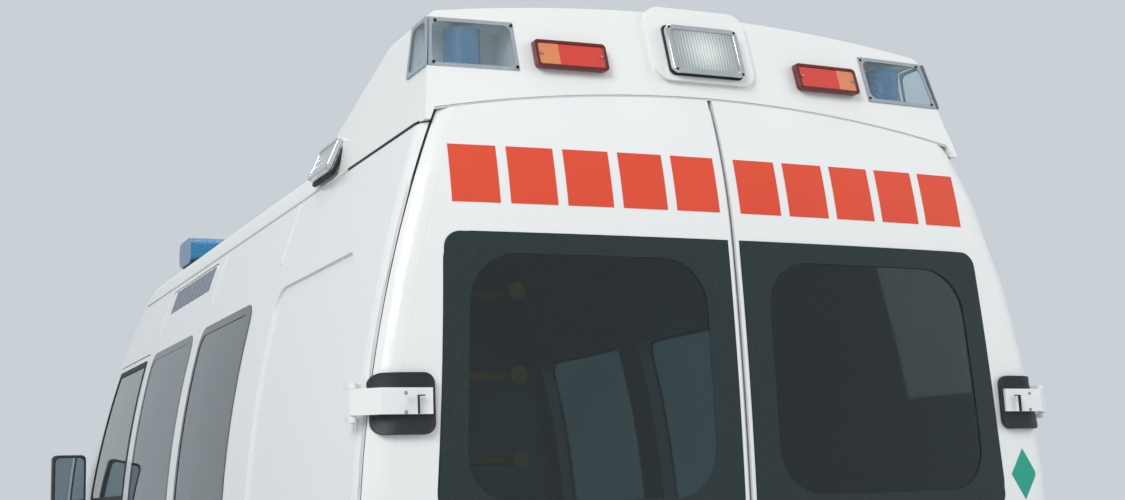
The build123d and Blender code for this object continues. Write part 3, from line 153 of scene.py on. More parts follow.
# Roof cap: one glass-fibre moulding in white gelcoat, bonded on the steel sides. Its gelcoat is a
# little softer in gloss than the enamel and stays cleaner so far above the road.
gelcoat = white_finish("polyester_gelcoat_white", "#ECEDEA", "#C9C5BA", 0.3, 0.25)
dress(gelcoat, "roof_cap")

# Sealant: polyurethane gunned into the joint between roof cap and steel sides, and tooled flat. It
# is dull black round the rear corners, and painted over further forward. Pale strips in the same
# finish fill the gaps over and beside the rear doors, where shade would fall: a painted highlight
# that lets each seam show as a pale line.
SIDES = ((-1, "left"), (1, "right"))
wall_radius, sill_radius, wall_centre_z, half_width = 3.305, 6.331, 1.150, 1.012
rear_axis_y, rear_bow, corner_radius = 6.966, 9.660, 0.075
belt, glass_middle, glass_top, cap_middle, cap_foot = (
    (0, 1.25), (0.008, 1.64), (0.033, 2.012), (0.065, 2.2), (0.124, 2.388)
)
cap_lean = 0.166 / 0.512


def side_x(z):
    """Half width of the body at a height."""
    radius = wall_radius if z > wall_centre_z else sill_radius
    return half_width - radius + math.sqrt(radius**2 - (z - wall_centre_z) ** 2)


def bowed(z, low, middle, high):
    """Offset at a height on the arc through three (offset, z) points."""
    (a, b), (c, d), (e, f) = low, middle, high
    k = 2 * (a * (d - f) - b * (c - e) + c * f - e * d)
    s1, s2, s3 = a * a + b * b, c * c + d * d, e * e + f * f
    cx = (s1 * (d - f) + s2 * (f - b) + s3 * (b - d)) / k
    cz = (s1 * (e - c) + s2 * (a - e) + s3 * (c - a)) / k
    radius = math.hypot(a - cx, b - cz)
    return cx - math.copysign(math.sqrt(radius**2 - (z - cz) ** 2), cx)


def rear_y(x, z):
    """Where the bowed, leaning rear face lies."""
    if z < belt[1]:
        offset = 0.0
    elif z < glass_top[1]:
        offset = bowed(z, belt, glass_middle, glass_top)
    elif z < cap_foot[1]:
        offset = bowed(z, glass_top, cap_middle, cap_foot)
    else:
        offset = cap_foot[0] + (z - cap_foot[1]) * cap_lean
    return rear_axis_y - math.sqrt((rear_bow - offset) ** 2 - x**2)


def rear_skin(x, z):
    """The rear face with its rounded corners."""
    over = min(max(0.0, abs(x) - (side_x(z) - corner_radius)), corner_radius)
    return rear_y(x, z) + corner_radius - math.sqrt(corner_radius**2 - over**2)


def add_piece(name, bm, finish, body="vehicle", sharp=35, bevel=0.0):
    """Turn a bmesh into a piece that rides on a body and takes a finish."""
    bmesh.ops.remove_doubles(bm, verts=bm.verts, dist=1e-6)
    bmesh.ops.recalc_face_normals(bm, faces=bm.faces)
    mesh = bpy.data.meshes.new(name)
    bm.to_mesh(mesh)
    bm.free()
    mesh.shade_smooth()
    mesh.set_sharp_from_angle(angle=math.radians(sharp))
    mesh.materials.append(finish.material)
    piece = bpy.data.objects.new(name, mesh)
    bpy.context.collection.objects.link(piece)
    if bevel:
        edge = piece.modifiers.new("edge", "BEVEL")
        edge.width, edge.segments = bevel, 2
        edge.limit_method, edge.angle_limit = "ANGLE", math.radians(40)
    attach(piece, body)
    return piece


def mottle(finish, scale, low, high, detail=3.0):
    """Let the colour drift between two, in clouds: 1000 over their size in mm is the scale."""
    cloud = add_node(finish.tree, "TexNoise", Vector=finish.place, Scale=scale, Detail=detail)
    tint_by(finish, cloud.outputs["Fac"], low, high)


dark_rubber_and_gap_shade = start_finish("polyurethane_black_and_gap_shade", "#141517", 0.62)
roughen(dark_rubber_and_gap_shade, 300.0, 0.0001)
# The same pale finish also fills the rear doors' top and outer gaps, as a painted highlight.
pale_seal_and_highlight = start_finish("polyurethane_overpainted_and_highlight_fill", "#C9CACA", 0.5)
roughen(pale_seal_and_highlight, 200.0, 0.0001)
mottle(pale_seal_and_highlight, 30.0, "#B9BBBC", "#D6D7D6")
joint_z, bead_height, bead_wall = 2.290, 0.008, 0.004
door_foot, arch_crown, arch_bend, arch_half_width = 0.53, 2.3959, 0.1295, 0.78


def bead_line(side):
    """Points of one bead, from the rear door's seam round the corner to the windscreen pillar."""
    x = side_x(joint_z)
    back = rear_y(x - corner_radius, joint_z)
    points = []
    for turn in (math.radians(15 * i) for i in range(3, 7)):
        across = x - corner_radius + corner_radius * math.sin(turn)
        points.append((side * across, back + corner_radius - corner_radius * math.cos(turn)))
    points.extend((side * x, y) for y in (-2.2, -1.92, -1.2, -0.2, 0.8, 1.3))
    return points


def door_top(x):
    """Height of the rear doors' arched top edge."""
    return arch_crown - arch_bend * x * x


def door_edge(z):
    """Distance of a rear door's outer edge from the middle."""
    return side_x(z) - 0.0125 - 0.0025 * max(0.0, (z - 1.3) / 0.6) ** 2


def ribbon(bm, inner, outer):
    """A strip of quads between two rows of points."""
    rows = [[bm.verts.new(p) for p in points] for points in (inner, outer)]
    for i in range(len(inner) - 1):
        bm.faces.new((rows[0][i], rows[0][i + 1], rows[1][i + 1], rows[1][i]))


def thicken(bm, thickness):
    """Give every face a wall."""
    bmesh.ops.solidify(bm, geom=bm.faces[:], thickness=thickness)


for side, word in SIDES:
    line = bead_line(side)
    for part, finish, points in (("rear", dark_rubber_and_gap_shade, line[:6]), ("front", pale_seal_and_highlight, line[5:])):
        bm = bmesh.new()
        row = [bm.verts.new((x, y, joint_z - bead_height / 2)) for x, y in points]
        edges = [bm.edges.new(pair) for pair in zip(row, row[1:])]
        made = bmesh.ops.extrude_edge_only(bm, edges=edges)["geom"]
        raised = [g for g in made if isinstance(g, bmesh.types.BMVert)]
        bmesh.ops.translate(bm, verts=raised, vec=(0, 0, bead_height))
        bmesh.ops.recalc_face_normals(bm, faces=bm.faces)
        bead = add_piece(f"roof_bead_{part}_{word}", bm, finish)
        wall = bead.modifiers.new("wall", "SOLIDIFY")
        wall.thickness, wall.offset = bead_wall, 0
# Painted highlight: a pale strip fills the arched gap over the rear doors, which would fall in
# shade.
bm = bmesh.new()
arch = [arch_half_width * (i - 16) / 16 for i in range(33)]
ribbon(
    bm,
    [(x, rear_y(x, door_top(x)) + 0.0025, door_top(x) + 0.0002) for x in arch],
    [(x, rear_y(x, door_top(x)) + 0.0045, door_top(x) + 0.0070) for x in arch],
)
thicken(bm, -0.004)
add_piece("door_top_seal", bm, pale_seal_and_highlight)
# Painted highlight: pale strips fill the gaps at the rear doors' outer edges, so each seam shows
# pale where it would fall in shade.
for side, word in SIDES:
    bm = bmesh.new()
    lip = [(door_edge(z), z) for z in (door_foot + 0.0437 * i for i in range(41))]
    ribbon(
        bm,
        [(side * (x + 0.0002), rear_skin(x, z) + 0.003, z) for x, z in lip],
        [(side * (x + 0.0072), rear_skin(x, z) + 0.008, z) for x, z in lip],
    )
    thicken(bm, -0.003)
    add_piece(f"door_edge_seal_{word}", bm, pale_seal_and_highlight)

# Windows: tempered privacy glass in the load space, dark and neutral, and laminated glass in the
# cab, faintly green. Both are bonded from outside and nearly flush. A black ceramic frit is fired
# on round each edge, hides the bond, and shines like the glass.
tinted = start_finish(
    "privacy_glass_tempered", "#798C8F", 0.02,
    Specular_IOR_Level=0.3, Transmission_Weight=1.0, IOR=1.45,
)
mottle(tinted, 1.6, "#6E8285", "#859799", 1.0)
dress(tinted, "side_windows", "rear_window_left", "rear_window_right")
clear = start_finish(
    "laminated_glass_green", "#A9C2B8", 0.02, Transmission_Weight=0.9, IOR=1.52
)
mottle(clear, 2.0, "#8FA59D", "#A5BAB1", 1.0)
dress(clear, "windscreen", "cab_glass_left", "cab_glass_right")
frit_proud, frit_depth = 0.0012, 0.0008
bays = (("rear", -1.179, -0.371), ("front", -0.236, 0.623))


def cells(finish, scale, depth=0.0, low="", high=""):
    """Small round cells as relief or colour: 1000 over their size in mm is the scale."""
    node = add_node(finish.tree, "TexVoronoi", Vector=finish.place, Scale=scale, feature="F1")
    pattern = node.outputs["Distance"]
    if depth:
        bump_by(finish, pattern, depth)
    if low:
        tint_by(finish, pattern, low, high)
    return pattern


def slab(bm, points, radius, steps=6):
    """A flat face through some points, its corners rounded."""
    before = set(bm.faces)
    face = bm.faces.new([bm.verts.new(p) for p in points])
    bmesh.ops.bevel(
        bm,
        geom=list(face.verts),
        offset=radius,
        offset_type="OFFSET",
        segments=steps,
        profile=0.5,
        affect="VERTICES",
        material=-1,
    )
    return [f for f in bm.faces if f not in before]


def to_rear(bm):
    """Bend a flat shape onto the rear face. Its Y is the distance that it stands proud."""
    for v in bm.verts:
        v.co.y = rear_skin(v.co.x, v.co.z) - v.co.y


def to_side(bm, side):
    """Bend a flat shape onto one side. Its X is the distance that it stands proud."""
    for v in bm.verts:
        v.co.x = side * (side_x(v.co.z) + v.co.x)


def band(bm, outer, outer_radius, inner, inner_radius, span=0.07):
    """A flat band between two rounded outlines, cut finely enough to bend."""
    edges = []
    for points, radius in ((outer, outer_radius), (inner, inner_radius)):
        faces = slab(bm, points, radius, 8)
        rim = list(faces[0].edges)
        bmesh.ops.delete(bm, geom=faces, context="FACES_ONLY")
        edges.extend(rim)
    for edge in [e for e in edges if e.calc_length() > span]:
        cuts = int(edge.calc_length() / span)
        made = bmesh.ops.subdivide_edges(bm, edges=[edge], cuts=cuts)["geom_split"]
        edges.extend(g for g in made if isinstance(g, bmesh.types.BMEdge) and g not in edges)
    return bmesh.ops.triangle_fill(bm, use_beauty=True, edges=edges)["geom"]


def corners_yz(y0, y1, z0, z1, x=0.0):
    """Corners of an upright rectangle that faces along X."""
    return [(x, y0, z0), (x, y1, z0), (x, y1, z1), (x, y0, z1)]


def tapered(side, inner_x, foot_x, head_x, z0, z1, y=0.0):
    """Corners of an upright panel on one side that faces along Y and narrows upwards."""
    points = ((inner_x, z0), (foot_x, z0), (head_x, z1), (inner_x, z1))
    return [(side * x, y, z) for x, z in points]


frit = start_finish("ceramic_frit_black", "#1A2829", 0.08, Specular_IOR_Level=0.5)
cells(frit, 220.0, low="#142122", high="#213233")
for side, word in SIDES:
    bm = bmesh.new()
    outer = tapered(side, 0.017, 0.822, 0.784, 1.296, 2.001)
    inner = tapered(side, 0.092, 0.752, 0.722, 1.345, 1.948)
    band(bm, outer, 0.04, inner, 0.12)
    to_rear(bm)
    bmesh.ops.translate(bm, verts=bm.verts, vec=(0, -frit_proud, 0))
    thicken(bm, frit_depth)
    add_piece(f"rear_frit_{word}", bm, frit, f"rear_door_{word}_body")
    for bay, back, front in bays:
        bm = bmesh.new()
        outer = corners_yz(back, front, 1.295, 2.002)
        inner = corners_yz(back + 0.03, front - 0.03, 1.325, 1.972)
        band(bm, outer, 0.075, inner, 0.06)
        to_side(bm, side)
        bmesh.ops.translate(bm, verts=bm.verts, vec=(side * frit_proud, 0, 0))
        thicken(bm, frit_depth)
        add_piece(f"side_frit_{bay}_{word}", bm, frit)

# Rear door furniture: a painted lip in the middle gap, a bezel behind each hinge arm, a handle and
# a blank plate under its lamp hood. Moulded polypropylene is dull black with a fine pebble, and
# zinc plate is a pale, slightly cloudy metal. The plate's sheet has a fine beaded sheen.
grained = start_finish("polypropylene_grained_black", "#1B1D20", 0.5)
cells(grained, 500.0, 0.00012)
mottle(grained, 6.0, "#17191C", "#24272B", 4.0)
zinc = start_finish("zinc_plated_steel", "#B9BBBD", 0.32, Metallic=1.0)
roughen(zinc, 700.0, 0.00003)
mottle(zinc, 80.0, "#A5A8AB", "#C9CBCD")
hinge_heights, hinge_x, bezel_cuts = (1.582, 0.685), (0.826, 0.972), 12
joint_x, pin_x, screw_x, arm_proud = 0.873, 0.866, 0.905, 0.0395


def rise(bm, faces, vec):
    """Extrude faces along a vector, and return the faces that moved."""
    made = bmesh.ops.extrude_face_region(bm, geom=faces)["geom"]
    verts = [g for g in made if isinstance(g, bmesh.types.BMVert)]
    bmesh.ops.translate(bm, verts=verts, vec=vec)
    return [g for g in made if isinstance(g, bmesh.types.BMFace)]


def corners_xz(x0, x1, z0, z1, y=0.0):
    """Corners of an upright rectangle that faces along Y."""
    return [(x0, y, z0), (x1, y, z0), (x1, y, z1), (x0, y, z1)]


def block(bm, low, high):
    """A box between two corners."""
    low, high = Vector(low), Vector(high)
    matrix = Matrix.Translation((low + high) / 2) @ Matrix.Diagonal((*(high - low), 1))
    bmesh.ops.create_cube(bm, size=1, matrix=matrix)


def rod(bm, start, end, radius, steps=16, tip=None):
    """A round bar between two points, or a cone where its tip has a radius of its own."""
    start, end = Vector(start), Vector(end)
    turn = (end - start).to_track_quat("Z", "Y").to_matrix().to_4x4()
    bmesh.ops.create_cone(
        bm,
        cap_ends=True,
        segments=steps,
        radius1=radius,
        radius2=radius if tip is None else tip,
        depth=(end - start).length,
        matrix=Matrix.Translation((start + end) / 2) @ turn,
    )


def screw(bm, place, vec, radius=0.004):
    """A pan head screw: a low dome with a smaller crown."""
    place, vec = Vector(place), Vector(vec).normalized()
    shoulder = place + vec * radius * 0.5
    rod(bm, place, shoulder, radius, 14, radius * 0.8)
    rod(bm, shoulder, place + vec * radius * 0.62, radius * 0.78, 14, radius * 0.45)


def sink(bm, faces, rim, vec=(0, 0, 0)):
    """Leave a rim round each face, and move its middle along a vector."""
    for face in faces:
        bmesh.ops.inset_region(bm, faces=[face], thickness=rim)
        bmesh.ops.translate(bm, verts=face.verts, vec=vec)


for side, word in SIDES:
    body = f"rear_door_{word}_body"
    low, high = sorted(side * x for x in hinge_x)
    bm = bmesh.new()
    for z in hinge_heights:
        faces = slab(bm, corners_xz(low, high, z - 0.073, z + 0.073), 0.026, 8)
        faces = rise(bm, faces, (0, 0.016, 0))
        bmesh.ops.inset_region(bm, faces=faces, thickness=0.010, depth=0.003)
    for i in range(1, bezel_cuts):
        cut = (low + (high - low) * i / bezel_cuts, 0, 0)
        everything = bm.verts[:] + bm.edges[:] + bm.faces[:]
        bmesh.ops.bisect_plane(bm, geom=everything, plane_co=cut, plane_no=(1, 0, 0))
    to_rear(bm)
    add_piece(f"hinge_bezel_{word}", bm, grained, body, bevel=0.003)
    bm = bmesh.new()
    for z in hinge_heights:
        for step in (-0.022, 0.022):
            y = rear_skin(screw_x, z) - 0.041
            screw(bm, (side * screw_x, y, z + step), (0, -1, 0), 0.005)
    add_piece(f"hinge_screws_{word}", bm, zinc, body)
    bm = bmesh.new()
    for z in hinge_heights:
        for x, half, foot, head in (
            (joint_x, 0.0012, -0.0263, 0.017),
            (pin_x, 0.008, 0.0158, 0.0182),
        ):
            block(bm, (side * x - half, -1, z + foot), (side * x + half, 0, z + head))
    for v in bm.verts:
        v.co.y = rear_skin(v.co.x, v.co.z) - (arm_proud if v.co.y < -0.5 else 0.03)
    add_piece(f"hinge_joints_{word}", bm, dark_rubber_and_gap_shade, body)
    bm = bmesh.new()
    heights = [door_foot + 0.0311 * i for i in range(60)]
    edges = (0.0026, 0.0078)
    ribbon(bm, *([(side * x, rear_y(x, z) + 0.003, z) for z in heights] for x in edges))
    thicken(bm, -0.008)
    add_piece(f"middle_lip_{word}", bm, pale_seal_and_highlight, body)

bm = bmesh.new()
faces = rise(bm, slab(bm, corners_xz(0.045, 0.185, 1.075, 1.215), 0.02), (0, 0.012, 0))
sink(bm, faces, 0.012, (0, -0.009, 0))
block(bm, (0.06, 0.004, 1.135), (0.17, 0.024, 1.165))
to_rear(bm)
add_piece("rear_handle", bm, grained, "rear_door_right_body", bevel=0.003)
bm = bmesh.new()
lock_x, lock_z = 0.15, 1.19
lock_y = rear_skin(lock_x, lock_z)
rod(bm, (lock_x, lock_y - 0.002, lock_z), (lock_x, lock_y - 0.007, lock_z), 0.009)
add_piece("rear_lock", bm, zinc, "rear_door_right_body", bevel=0.001)
plate_yellow = start_finish("reflective_sheet_yellow", "#D9B53A", 0.28, Coat_Weight=0.4)
cells(plate_yellow, 900.0, low="#DDB93C", high="#C9A431")
bm = bmesh.new()
rise(bm, slab(bm, corners_xz(-0.56, -0.04, 0.86, 0.971), 0.012), (0, 0.005, 0))
to_rear(bm)
add_piece("rear_plate", bm, plate_yellow, "rear_door_left_body", bevel=0.001)
bm = bmesh.new()
rise(bm, slab(bm, corners_xz(-0.57, -0.03, 0.985, 1.03), 0.012), (0, 0.022, 0))
to_rear(bm)
for x in (-0.53, -0.07):
    screw(bm, (x, rear_skin(x, 0.915) - 0.005, 0.915), (0, -1, 0))
add_piece("plate_lamp_hood", bm, grained, "rear_door_left_body", bevel=0.004)

# Markings: cut vinyl film, stuck on the paint, even in colour and a little less glossy than it. A
# row of plain red blocks crosses the rear doors, navy ones stand on the sides, and a green diamond
# marks the rear right corner.
red_film = start_finish("vinyl_film_red", "#DF4422", 0.34, Coat_Weight=0.3)
mottle(red_film, 3.0, "#DC3F1E", "#E54F2C", 2.0)
navy_film = start_finish("vinyl_film_navy", "#2B3A5C", 0.32, Coat_Weight=0.3)
mottle(navy_film, 3.0, "#27365A", "#34456B", 2.0)
green_film = start_finish("vinyl_film_green", "#0F9C83", 0.3, Coat_Weight=0.3)
mottle(green_film, 9.0, "#0D967E", "#17A88F", 2.0)
film_proud, film_depth = 0.0006, 0.0005


def turn_by(degrees, axis):
    """A turn about an axis, as a matrix."""
    return Matrix.Rotation(math.radians(degrees), 4, axis)


along_x = turn_by(90, "X")
along_y = turn_by(90, "Z") @ along_x


def film(bm, centre, facing, width, height, columns=3, rows=8, turn=0):
    """An upright patch of film, cut finely enough to bend."""
    scaled = Matrix.Diagonal((width, height, 1, 1)) @ turn_by(turn, "Z")
    at = Matrix.Translation(centre) @ facing @ scaled
    bmesh.ops.create_grid(bm, x_segments=columns, y_segments=rows, size=0.5, matrix=at)


for side, word in SIDES:
    bm = bmesh.new()
    for i in range(5):
        film(bm, (side * (0.093 + 0.151 * i), film_proud, 2.15), along_x, 0.124, 0.15)
    to_rear(bm)
    thicken(bm, film_depth)
    add_piece(f"red_blocks_{word}", bm, red_film, f"rear_door_{word}_body")
    bm = bmesh.new()
    for i in range(9):
        film(bm, (film_proud, -0.205 + 0.0845 * i, 2.208), along_y, 0.068, 0.092, 1, 6)
    to_side(bm, side)
    thicken(bm, film_depth)
    add_piece(f"navy_blocks_{word}", bm, navy_film)
bm = bmesh.new()
film(bm, (0.896, film_proud, 1.385), along_x, 0.065, 0.099, 6, 6, 45)
to_rear(bm)
thicken(bm, film_depth)
add_piece("green_diamond", bm, green_film, "rear_door_right_body")

# Corner beacons: deep blue, fluted polycarbonate lamps under clear covers, which are screwed to
# the roof's rear corners. Each cover has a satin grey anodised edge trim and dark, dull screws.


def flutes(finish, scale, axis, depth, strength, low="", high=""):
    """Moulded flutes across one axis, as relief and colour. Their pitch is 314 mm / scale."""
    tree, place = finish.tree, finish.place
    node = add_node(tree, "TexWave", Vector=place, Scale=scale, bands_direction=axis)
    pattern = node.outputs["Fac"]
    bump_by(finish, pattern, depth, strength)
    if low:
        tint_by(finish, pattern, low, high)


dome_blue = start_finish(
    "polycarbonate_blue", "#157DB4", 0.12, Transmission_Weight=0.45, IOR=1.58
)
flutes(dome_blue, 55.0, "Z", 0.0012, 0.6, "#0D70AE", "#35A6DA")
dress(dome_blue, "corner_beacons", "light_bar")
cover_clear = start_finish(
    "polycarbonate_clear", "#E6F0F5", 0.05, Transmission_Weight=0.93, IOR=1.1
)
mottle(cover_clear, 4.0, "#DCE9EF", "#EEF5F8", 2.0)
dress(cover_clear, "corner_light_covers")
edge_trim = start_finish("aluminium_anodised_grey", "#B4BBC0", 0.38, Metallic=0.7)
mottle(edge_trim, 60.0, "#A9B1B6", "#C3C9CD")
black_steel = start_finish("steel_black_oxide", "#16181A", 0.4, Metallic=0.6)
mottle(black_steel, 90.0, "#121416", "#232629")
trim_depth, beacon_x, beacon_y, pod_foot, pod_lean = 0.0025, 0.655, -2.435, 0.806, 0.134


def pod_x(z):
    """Half width of the raised rear part of the roof at a height."""
    return pod_foot - (z - joint_z) * pod_lean


def ridge_yz(foot_y, front_y, head_y, z0, z1):
    """Corners of a cover's side face, whose rear edge leans with the roof."""
    return [(0, foot_y, z0), (0, front_y, z0), (0, front_y, z1), (0, head_y, z1)]


for side, word in SIDES:
    bm = bmesh.new()
    outer = tapered(side, 0.535, 0.778, 0.760, 2.441, 2.583, 0.001)
    inner = tapered(side, 0.546, 0.768, 0.752, 2.452, 2.572, 0.001)
    band(bm, outer, 0.006, inner, 0.02)
    for v in bm.verts:
        v.co.y = rear_y(v.co.x, v.co.z) - v.co.y
    thicken(bm, trim_depth)
    side_trim = bmesh.new()
    outer = ridge_yz(-2.525, -2.366, -2.485, 2.441, 2.583)
    inner = ridge_yz(-2.510, -2.378, -2.475, 2.452, 2.572)
    band(side_trim, outer, 0.006, inner, 0.02)
    for v in side_trim.verts:
        v.co.x = side * (pod_x(v.co.z) + 0.001)
    thicken(side_trim, trim_depth)
    joined = bpy.data.meshes.new("joined")
    side_trim.to_mesh(joined)
    side_trim.free()
    bm.from_mesh(joined)
    bpy.data.meshes.remove(joined)
    add_piece(f"cover_trim_{word}", bm, edge_trim)
    bm = bmesh.new()
    for x, z in ((0.541, 2.452), (0.541, 2.573), (0.745, 2.573), (0.764, 2.452)):
        screw(bm, (side * x, rear_y(x, z) - 0.003, z), (0, -1, 0.3), 0.0045)
    add_piece(f"cover_screws_{word}", bm, black_steel)
    bm = bmesh.new()
    for low, high, radius in ((2.428, 2.446, 0.055), (2.446, 2.450, 0.052)):
        x = side * beacon_x
        rod(bm, (x, beacon_y, low), (x, beacon_y, high), radius, 32)
    add_piece(f"beacon_base_{word}", bm, zinc, bevel=0.001)

# Rear lamps: moulded acrylic lenses, glossy with prisms inside, each held by two screws in a dark
# red rim. Marker lamps are red with an amber outer third, and tail lamps stack amber, red and
# clear fields.
lens_mix = start_finish("acrylic_lens_red_amber", "#B3201A", 0.12, Coat_Weight=0.8)
tree = lens_mix.tree
amber_x, marker_foot, tail_foot, tail_head = 0.428, 1.6, 0.78, 1.18
axes = add_node(tree, "SeparateXYZ", lens_mix.place).outputs
out = add_node(tree, "Math", axes["X"], operation="ABSOLUTE").outputs[0]
third = add_node(tree, "Math", out, amber_x, operation="GREATER_THAN").outputs[0]
marker_colour = between(lens_mix, third, "#D6301C", "#DF8450")
fields = add_node(tree, "MapRange", axes["Z"], From_Min=tail_foot, From_Max=tail_head)
stack = add_node(tree, "ValToRGB", fields.outputs["Result"])
ramp = stack.color_ramp
ramp.interpolation = "CONSTANT"
ramp.elements[1].position = 0.36
for foot in (0.6, 0.82):
    ramp.elements.new(foot)
for field, colour in zip(ramp.elements, ("#A8140E", "#D3D6D8", "#B3180F", "#D9761C")):
    field.color = linear(colour)
is_marker = add_node(tree, "Math", axes["Z"], marker_foot, operation="GREATER_THAN").outputs[0]
tint_by(lens_mix, is_marker, stack.outputs["Color"], marker_colour)
flutes(lens_mix, 42.0, "X", 0.0008, 0.7)
dress(lens_mix, "rear_lamps")
dark_red = start_finish("acrylic_rim_dark_red", "#5E1512", 0.25)
mottle(dark_red, 50.0, "#54110F", "#6F1A15")
marker_x, marker_z = (0.2945, 0.4915), 2.493
for side, word in SIDES:
    bm = bmesh.new()
    low, high = sorted(side * x for x in marker_x)
    outer = corners_xz(low - 0.002, high + 0.002, marker_z - 0.04, marker_z + 0.04, 0.002)
    inner = corners_xz(low + 0.007, high - 0.007, marker_z - 0.03, marker_z + 0.03, 0.002)
    band(bm, outer, 0.012, inner, 0.006)
    rise(bm, bm.faces[:], (0, 0.0225, 0))
    to_rear(bm)
    add_piece(f"marker_rim_{word}", bm, dark_red, bevel=0.0015)
    bm = bmesh.new()
    for x in (low + 0.014, high - 0.014):
        screw(bm, (x, rear_y(x, marker_z) - 0.024, marker_z), (0, -1, 0.32), 0.0045)
    add_piece(f"marker_screws_{word}", bm, zinc)

# Scene lamps: flood lamps with a pressed, fluted glass lens in a chromed bezel that mirrors the
# sky, on a dark gasket. The lens colour is partly painted light: a painted glow over the rear
# lamp's bowl, as a painted reflection of it, and painted light and shade in bands along the
# flutes.
# One lights the ground behind the doors and one stands on each side of the roof.
lens_glass = start_finish("pressed_glass_fluted", "#C9CFCC", 0.1, Coat_Weight=0.7)
tree = lens_glass.tree
lamp_y, lamp_z = -2.56, 2.536
centre, place = (0.0, lamp_y, lamp_z), lens_glass.place
bowl = add_node(tree, "VectorMath", place, centre, operation="DISTANCE").outputs["Value"]
# Painted glow: the lens is painted brighter within about 0.1 m of the rear lamp's centre; the side
# and fog lamps, further off, take the darker end.
painted_glow = add_node(tree, "MapRange", bowl, From_Min=0.015, From_Max=0.11).outputs["Result"]
slats = add_node(
    tree, "TexWave", Vector=place, Scale=34.0, Distortion=0.4, bands_direction="X"
).outputs["Fac"]
# Painted light and shade: the flute bands and the glow, mixed into the lens colour.
shade = add_node(tree, "Math", slats, 0.45, painted_glow, operation="MULTIPLY_ADD").outputs[0]
bump_by(lens_glass, slats, 0.002, 0.8)
tint_by(lens_glass, shade, "#EEF1EE", "#9FA8A8")
dress(lens_glass, "scene_lamps")
chrome = start_finish("chromed_steel", "#D5D7D9", 0.09, Metallic=1.0)
mottle(chrome, 25.0, "#C9CBCD", "#DEE0E1")
bezel_width = 0.014


def bezel(bm, half_width, half_height, z, start, depth):
    """A ring round a lamp's face, standing out of the XZ plane."""
    rings = []
    for inset in (0, bezel_width):
        x, rise_z = half_width - inset, half_height - inset
        rings.append(corners_xz(-x, x, z - rise_z, z + rise_z, start))
    rise(bm, band(bm, rings[0], 0.018, rings[1], 0.01), (0, depth, 0))


for part, finish, slot, ring in (
    ("bezel", chrome, "bare_steel", (0.109, 0.0725, lamp_z, 0.02, 0.0215)),
    ("gasket", dark_rubber_and_gap_shade, "dark_trim", (0.1125, 0.0757, lamp_z, 0.0155, 0.006)),
):
    bm = bmesh.new()
    bezel(bm, *ring)
    to_rear(bm)
    add_piece(f"scene_{part}_rear", bm, finish, bevel=0.002)
bm = bmesh.new()
for x in (-0.1, 0.1):
    for z in (lamp_z - 0.0635, lamp_z + 0.0635):
        screw(bm, (x, rear_y(x, z) - 0.041, z), (0, -1, 0.3), 0.0042)
add_piece("scene_screws_rear", bm, black_steel)
tilt, stem, shoulder_z, side_lamp_y = math.radians(24), 0.092, 2.330, -1.694
for side, word in SIDES:
    out_x = side * (side_x(shoulder_z) - 0.060 + stem * math.cos(tilt))
    centre = Vector((out_x, side_lamp_y, shoulder_z + stem * math.sin(tilt)))
    axes = [
        (0, side, 0),
        (side * math.cos(tilt), 0, math.sin(tilt)),
        (-side * math.sin(tilt), 0, math.cos(tilt)),
    ]
    stand = Matrix.Translation(centre) @ Matrix(axes).transposed().to_4x4()
    for part, finish, grow, start, depth in (
        ("bezel", chrome, 0.0015, -0.014, 0.017),
        ("gasket", dark_rubber_and_gap_shade, 0.009, -0.03, 0.012),
    ):
        bm = bmesh.new()
        bezel(bm, 0.1025 + grow, 0.053 + grow, 0, start, depth)
        bmesh.ops.transform(bm, matrix=stand, verts=bm.verts)
        add_piece(f"scene_{part}_{word}", bm, finish, bevel=0.002)

# Light bar: a blue polycarbonate housing across the front of the roof. It stands on two feet, with
# a black base tray and three clamping bands.


def corners_xy(x0, x1, y0, y1, z):
    """Corners of a level rectangle."""
    return [(x0, y0, z), (x1, y0, z), (x1, y1, z), (x0, y1, z)]


bm = bmesh.new()
tray = slab(bm, corners_xy(-0.684, 0.684, 0.936, 1.184, 2.45), 0.03)
sink(bm, rise(bm, tray, (0, 0, 0.022)), 0.004)
add_piece("light_bar_tray", bm, grained, bevel=0.003)
bm = bmesh.new()
for x in (-0.35, 0, 0.35):
    faces = slab(bm, corners_yz(0.9285, 1.1915, 2.4505, 2.5635, x - 0.014), 0.04, 10)
    rise(bm, faces, (0.028, 0, 0))
add_piece("light_bar_bands", bm, grained, bevel=0.002)

# Side fittings: pressed steel ribs and a capped rail slot in the panel, moulded rub strips that
# clip along the body, a pull handle on the sliding door, and a hinged fuel flap on the left.
rib_ys = (-1.417, -0.394, 0.645)
strip_z, strip_half, strip_proud = 0.735, 0.0375, 0.010
for side, word in SIDES:
    bm = bmesh.new()
    for y in rib_ys:
        film(bm, (0.0, y, 2.186), along_y, 0.012, 0.19, 2, 8)
    for v in bm.verts:
        v.co.x = 0.004 if min(abs(v.co.y - y) for y in rib_ys) < 0.001 else -0.001
    to_side(bm, side)
    add_piece(f"pillar_ribs_{word}", bm, enamel, sharp=80)
    for part, body, low, high in (
        ("rear", "vehicle", -2.49, -2.10),
        ("middle", "vehicle", -1.26, -0.33),
        ("door", "vehicle", -0.27, 0.62),
        ("cab", f"cab_door_{word}_body", 0.72, 1.44),
    ):
        bm = bmesh.new()
        centre = (0, (low + high) / 2, strip_z)
        film(bm, centre, along_y, high - low, 2 * strip_half, 6, 6)
        for v in bm.verts:
            to_edge = strip_half - abs(v.co.z - strip_z)
            edge = min(abs(to_edge), abs(v.co.y - low), abs(v.co.y - high))
            v.co.x = 0.0 if edge < 0.001 else strip_proud
        to_side(bm, side)
        name = f"rub_strip_{part}_{word}"
        add_piece(name, bm, grained, body, sharp=60, bevel=0.002)
bm = bmesh.new()
